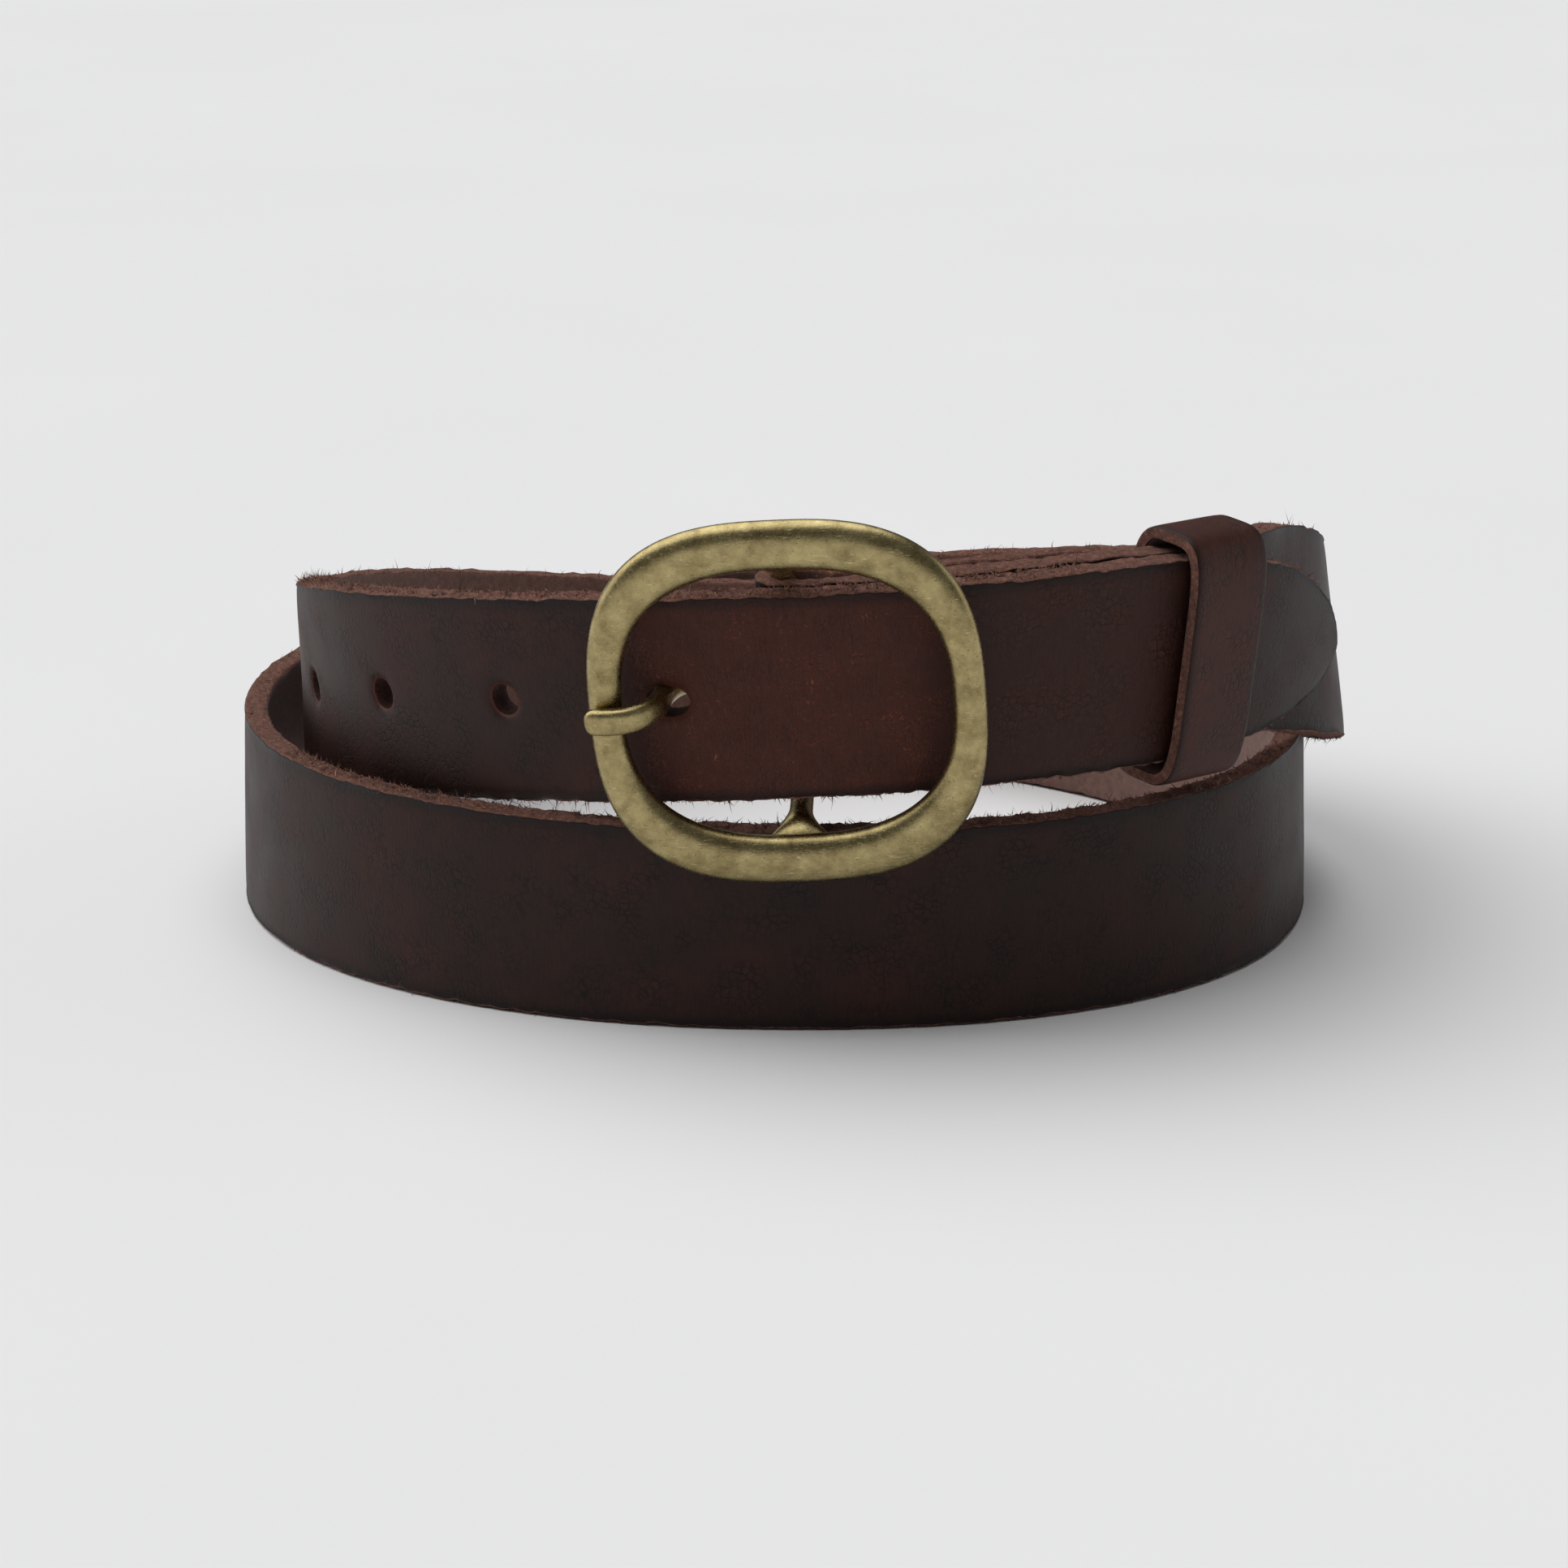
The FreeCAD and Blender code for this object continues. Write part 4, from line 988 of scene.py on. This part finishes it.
buckle_mesh = make_mesh("cast_buckle", buckle_points, buckle_faces, caps=buckle_caps)

# %% Prong
PRONG_STATIONS = [
    (0.0, -2.6, -0.9, 1.75, 0.95), (1.0, -6.0, -0.8, 1.75, 1.1), (2.0, -12.0, -0.6, 1.85, 1.22),
    (3.0, -15.4, 0.6, 1.85, 1.22), (4.0, -17.0, 4.0, 1.85, 1.22), (5.0, -17.7, 8.0, 1.85, 1.22),
    (6.0, -19.6, 11.5, 1.88, 1.22), (7.0, -22.6, 13.0, 1.9, 1.2), (8.0, -25.4, 13.0, 1.88, 1.15),
    (9.0, -27.3, 12.8, 1.8, 1.05),
]
prong_path = smooth_route(PRONG_STATIONS)
prong_share = np.concatenate([np.linspace(0, 8.1, 116), 8.1 + 0.9 * np.sin(np.linspace(0.1, 1.5, 16))])
prong_x, prong_z, prong_wide, prong_deep = prong_path(prong_share).T
to_tip = np.clip((prong_share - 8.1) / 0.9, 0, 1)
rounding = np.sqrt(np.maximum(1 - to_tip ** 2, 0.003))
prong_flow = unit(np.stack([np.gradient(prong_x), np.gradient(prong_z)], axis=1))
prong_line = in_buckle(prong_x, 0 * prong_x, prong_z, PRONG_SKEW)
prong_side = in_buckle(0 * prong_x, 1 + 0 * prong_x, 0 * prong_x, PRONG_SKEW) - buckle_centre
prong_face = in_buckle(-prong_flow[:, 1], 0 * prong_x, prong_flow[:, 0], PRONG_SKEW) - buckle_centre
prong_shell = carried(
    prong_line, prong_side, prong_face, prong_wide * rounding, prong_deep * rounding, 2.5, 36)
curl_turn = np.linspace(0, 2 * math.pi, 72, endpoint=False)
curl_out = in_buckle(np.cos(curl_turn), 0 * curl_turn, np.sin(curl_turn)) - buckle_centre
curl_middle = BAR_RADIUS + BAR_CLEARANCE + 0.75
curl_shell = carried(
    buckle_centre + curl_out * curl_middle, np.broadcast_to(bar_up, curl_out.shape), curl_out,
    np.full(72, 1.75), np.full(72, 0.74), 4.0, 24, closed=True)
prong_points, prong_faces, prong_caps = joined([prong_shell, curl_shell])
prong_mesh = make_mesh("rounded_prong", prong_points, prong_faces, caps=prong_caps)

# %% [markdown]
# ## Brass
# The buckle is cast in brass, tumbled and given an antique patina that is then rubbed back: a
# satin, olive-gold metal with a brownish film, many short scratches and small pits.

# %% Antique brass
def antique_brass(name, clean, aged, roughness_low, roughness_high):
    """Metal with drifts of patina, satin grain, small pits and short scratches; the scratches are lightened
    towards pale cream, partly bare metal and partly a painted glint.
    """
    material, tree = new_material(name)
    place = add(tree, "ShaderNodeTexCoord").outputs["Object"]
    mm = add(tree, "ShaderNodeVectorMath", {"operation": "SCALE"}, {0: place, "Scale": 1 / MM}).outputs[0]
    drift = add(tree, "ShaderNodeTexNoise", inputs={
        "Vector": mm, "Scale": 1 / 3, "Detail": 6.0, "Roughness": 0.65}).outputs[0]
    grit = add(tree, "ShaderNodeTexNoise", inputs={
        "Vector": mm, "Scale": 3.2, "Detail": 4.0, "Roughness": 0.7}).outputs[0]
    pits = add(tree, "ShaderNodeTexVoronoi", inputs={"Vector": mm, "Scale": 1 / 0.9}).outputs[0]
    pit = add(tree, "ShaderNodeMapRange", {"interpolation_type": "SMOOTHSTEP"}, {
        "Value": pits, "From Min": 0.05, "From Max": 0.16, "To Min": 1.0, "To Max": 0.0}).outputs[0]
    long_space = add(tree, "ShaderNodeVectorMath", {"operation": "MULTIPLY"}, {
        0: mm, 1: (0.5, 3.5, 4.5)}).outputs[0]
    scratches = add(tree, "ShaderNodeTexNoise", inputs={
        "Vector": long_space, "Scale": 1.0, "Detail": 3.0, "Roughness": 0.65, "Distortion": 0.4}).outputs[0]
    scratch_glint_mask = add(tree, "ShaderNodeMapRange", inputs={
        "Value": scratches, "From Min": 0.60, "From Max": 0.72}).outputs[0]
    tone = add(tree, "ShaderNodeValToRGB", inputs={0: drift},
               stops=[(0.32, aged), (0.68, clean)]).outputs[0]
    speck = add(tree, "ShaderNodeMath", {"operation": "MULTIPLY"}, {0: pit, 1: 0.5}).outputs[0]
    tone = add(tree, "ShaderNodeMix", {"data_type": "RGBA"}, {
        0: speck, 6: tone, 7: paint("#4a3a1c")}).outputs[2]
    # Scratches are mixed towards pale cream: partly the brighter bare metal under the patina, partly a
    # painted glint that stands in for their highlights.
    scratch_glint_share = add(tree, "ShaderNodeMath", {"operation": "MULTIPLY"}, {0: scratch_glint_mask, 1: 0.7}).outputs[0]
    tone = add(tree, "ShaderNodeMix", {"data_type": "RGBA"}, {
        0: scratch_glint_share, 6: tone, 7: paint("#ddcf9f")}).outputs[2]
    rough = add(tree, "ShaderNodeMapRange", inputs={
        "Value": grit, "From Min": 0.3, "From Max": 0.7,
        "To Min": roughness_low, "To Max": roughness_high}).outputs[0]
    height = add(tree, "ShaderNodeMath", {"operation": "MULTIPLY_ADD"}, {
        0: pit, 1: -0.8, 2: grit}).outputs[0]
    height = add(tree, "ShaderNodeMath", {"operation": "MULTIPLY_ADD"}, {
        0: scratch_glint_mask, 1: -0.4, 2: height}).outputs[0]
    finish_material(tree, {"Metallic": 1.0}, tone, rough, height, 0.5, 0.05)
    return material


brass = antique_brass("antique_satin_brass", "#b8a878", "#857650", 0.20, 0.38)
bright_brass = antique_brass("rubbed_brass", "#b9a77a", "#94835a", 0.24, 0.38)


def bright_steel():
    """Staple wire: drawn, tinned steel with faint drawing lines."""
    material, tree = new_material("tinned_steel_wire")
    place = add(tree, "ShaderNodeTexCoord").outputs["Object"]
    lines = add(tree, "ShaderNodeTexNoise", inputs={
        "Vector": place, "Scale": 1 / (0.3 * MM), "Detail": 3.0}).outputs[0]
    tone = add(tree, "ShaderNodeValToRGB", inputs={0: lines},
               stops=[(0.3, "#8f9090"), (0.7, "#c9caca")]).outputs[0]
    finish_material(tree, {"Metallic": 1.0}, tone, 0.3, lines, 0.15, 0.02)
    return material


def refinish(node, material):
    """A CAD node keeps its mesh and gets this finish."""
    mesh = frame["nodes"][node].data
    mesh.materials.clear()
    mesh.materials.append(material)
    print(node, "wears", material.name)


buckle = add_piece("cast_buckle", buckle_mesh, "buckle", [brass])
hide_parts("buckle_frame")
prong = add_piece("rounded_prong", prong_mesh, "prong", [brass])
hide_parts("prong")
for node in ("fold_posts", "fold_screws"):
    refinish(node, bright_brass)
refinish("keeper_staple", bright_steel())

# %% [markdown]
# ## Floor and light
# A pale sheet under a very large soft light above and to the left, with two soft lights low at
# the sides that draw a grey sheen down the leather where it turns away. They are drawn on the
# world's dome, so that the sheet is lit evenly all over.

# %% Floor
def pale_floor():
    """A matt, almost white sheet with a very faint mottle."""
    material, tree = new_material("pale_paper")
    place = add(tree, "ShaderNodeTexCoord").outputs["Object"]
    mottle = add(tree, "ShaderNodeTexNoise", inputs={
        "Vector": place, "Scale": 6.0, "Detail": 2.0}).outputs[0]
    tone = add(tree, "ShaderNodeValToRGB", inputs={0: mottle},
               stops=[(0.3, "#ececed"), (0.7, "#eeeeef")]).outputs[0]
    finish_material(tree, {"Specular IOR Level": 0.1}, tone, 0.9, mottle, 0.02, 0.1)
    return material


FLOOR_HALF = 6000.0
floor_points = np.array([(-1, -1, 0), (1, -1, 0), (1, 1, 0), (-1, 1, 0)], float) * FLOOR_HALF
floor_points = floor_points - (0, 0, ABOVE_FLOOR)
floor_mesh = bpy.data.meshes.new("floor")
floor_mesh.from_pydata((floor_points * MM).tolist(), [], [[0, 1, 2, 3]])
floor_mesh.materials.append(pale_floor())
floor = bpy.data.objects.new("floor", floor_mesh)
bpy.context.scene.collection.objects.link(floor)


# %% Lights and world
def glow(tree, direction, low, high, strength):
    """Light from round one direction: its cosine with the view, from low to high, times strength."""
    toward = add(tree, "ShaderNodeVectorMath", {"operation": "DOT_PRODUCT"}, {
        0: add(tree, "ShaderNodeTexCoord").outputs["Generated"], 1: Vector(direction).normalized()})
    return add(tree, "ShaderNodeMapRange", {"interpolation_type": "SMOOTHSTEP"}, {
        "Value": toward.outputs["Value"], "From Min": low, "From Max": high,
        "To Min": 0.0, "To Max": strength}).outputs[0]


world = bpy.data.worlds.new("studio")
world.use_nodes = True
bpy.context.scene.world = world
tree = world.node_tree
tree.nodes.clear()
total = add(tree, "ShaderNodeMath", {"operation": "ADD"}, {
    0: glow(tree, (-0.35, 0.10, 1.0), 0.62, 0.90, 1.9), 1: 0.12}).outputs[0]
for direction, low, high, strength in [
    ((-1.0, 0.25, 0.30), 0.86, 0.97, 1.15),
    ((1.0, 0.30, 0.25), 0.89, 0.98, 0.7),
]:
    total = add(tree, "ShaderNodeMath", {"operation": "ADD"}, {
        0: total, 1: glow(tree, direction, low, high, strength)}).outputs[0]
seen = add(tree, "ShaderNodeLightPath").outputs["Is Camera Ray"]
strength = add(tree, "ShaderNodeMix", {"data_type": "FLOAT"}, {0: seen, 2: total, 3: 0.8}).outputs[0]
sky = add(tree, "ShaderNodeBackground", inputs={"Color": paint("#ffffff"), "Strength": strength})
add(tree, "ShaderNodeOutputWorld", inputs={"Surface": sky.outputs[0]})
bpy.context.scene.view_settings.view_transform = "Standard"
print("the world's dome holds", sum(node.type == "MAP_RANGE" for node in tree.nodes), "soft lights")
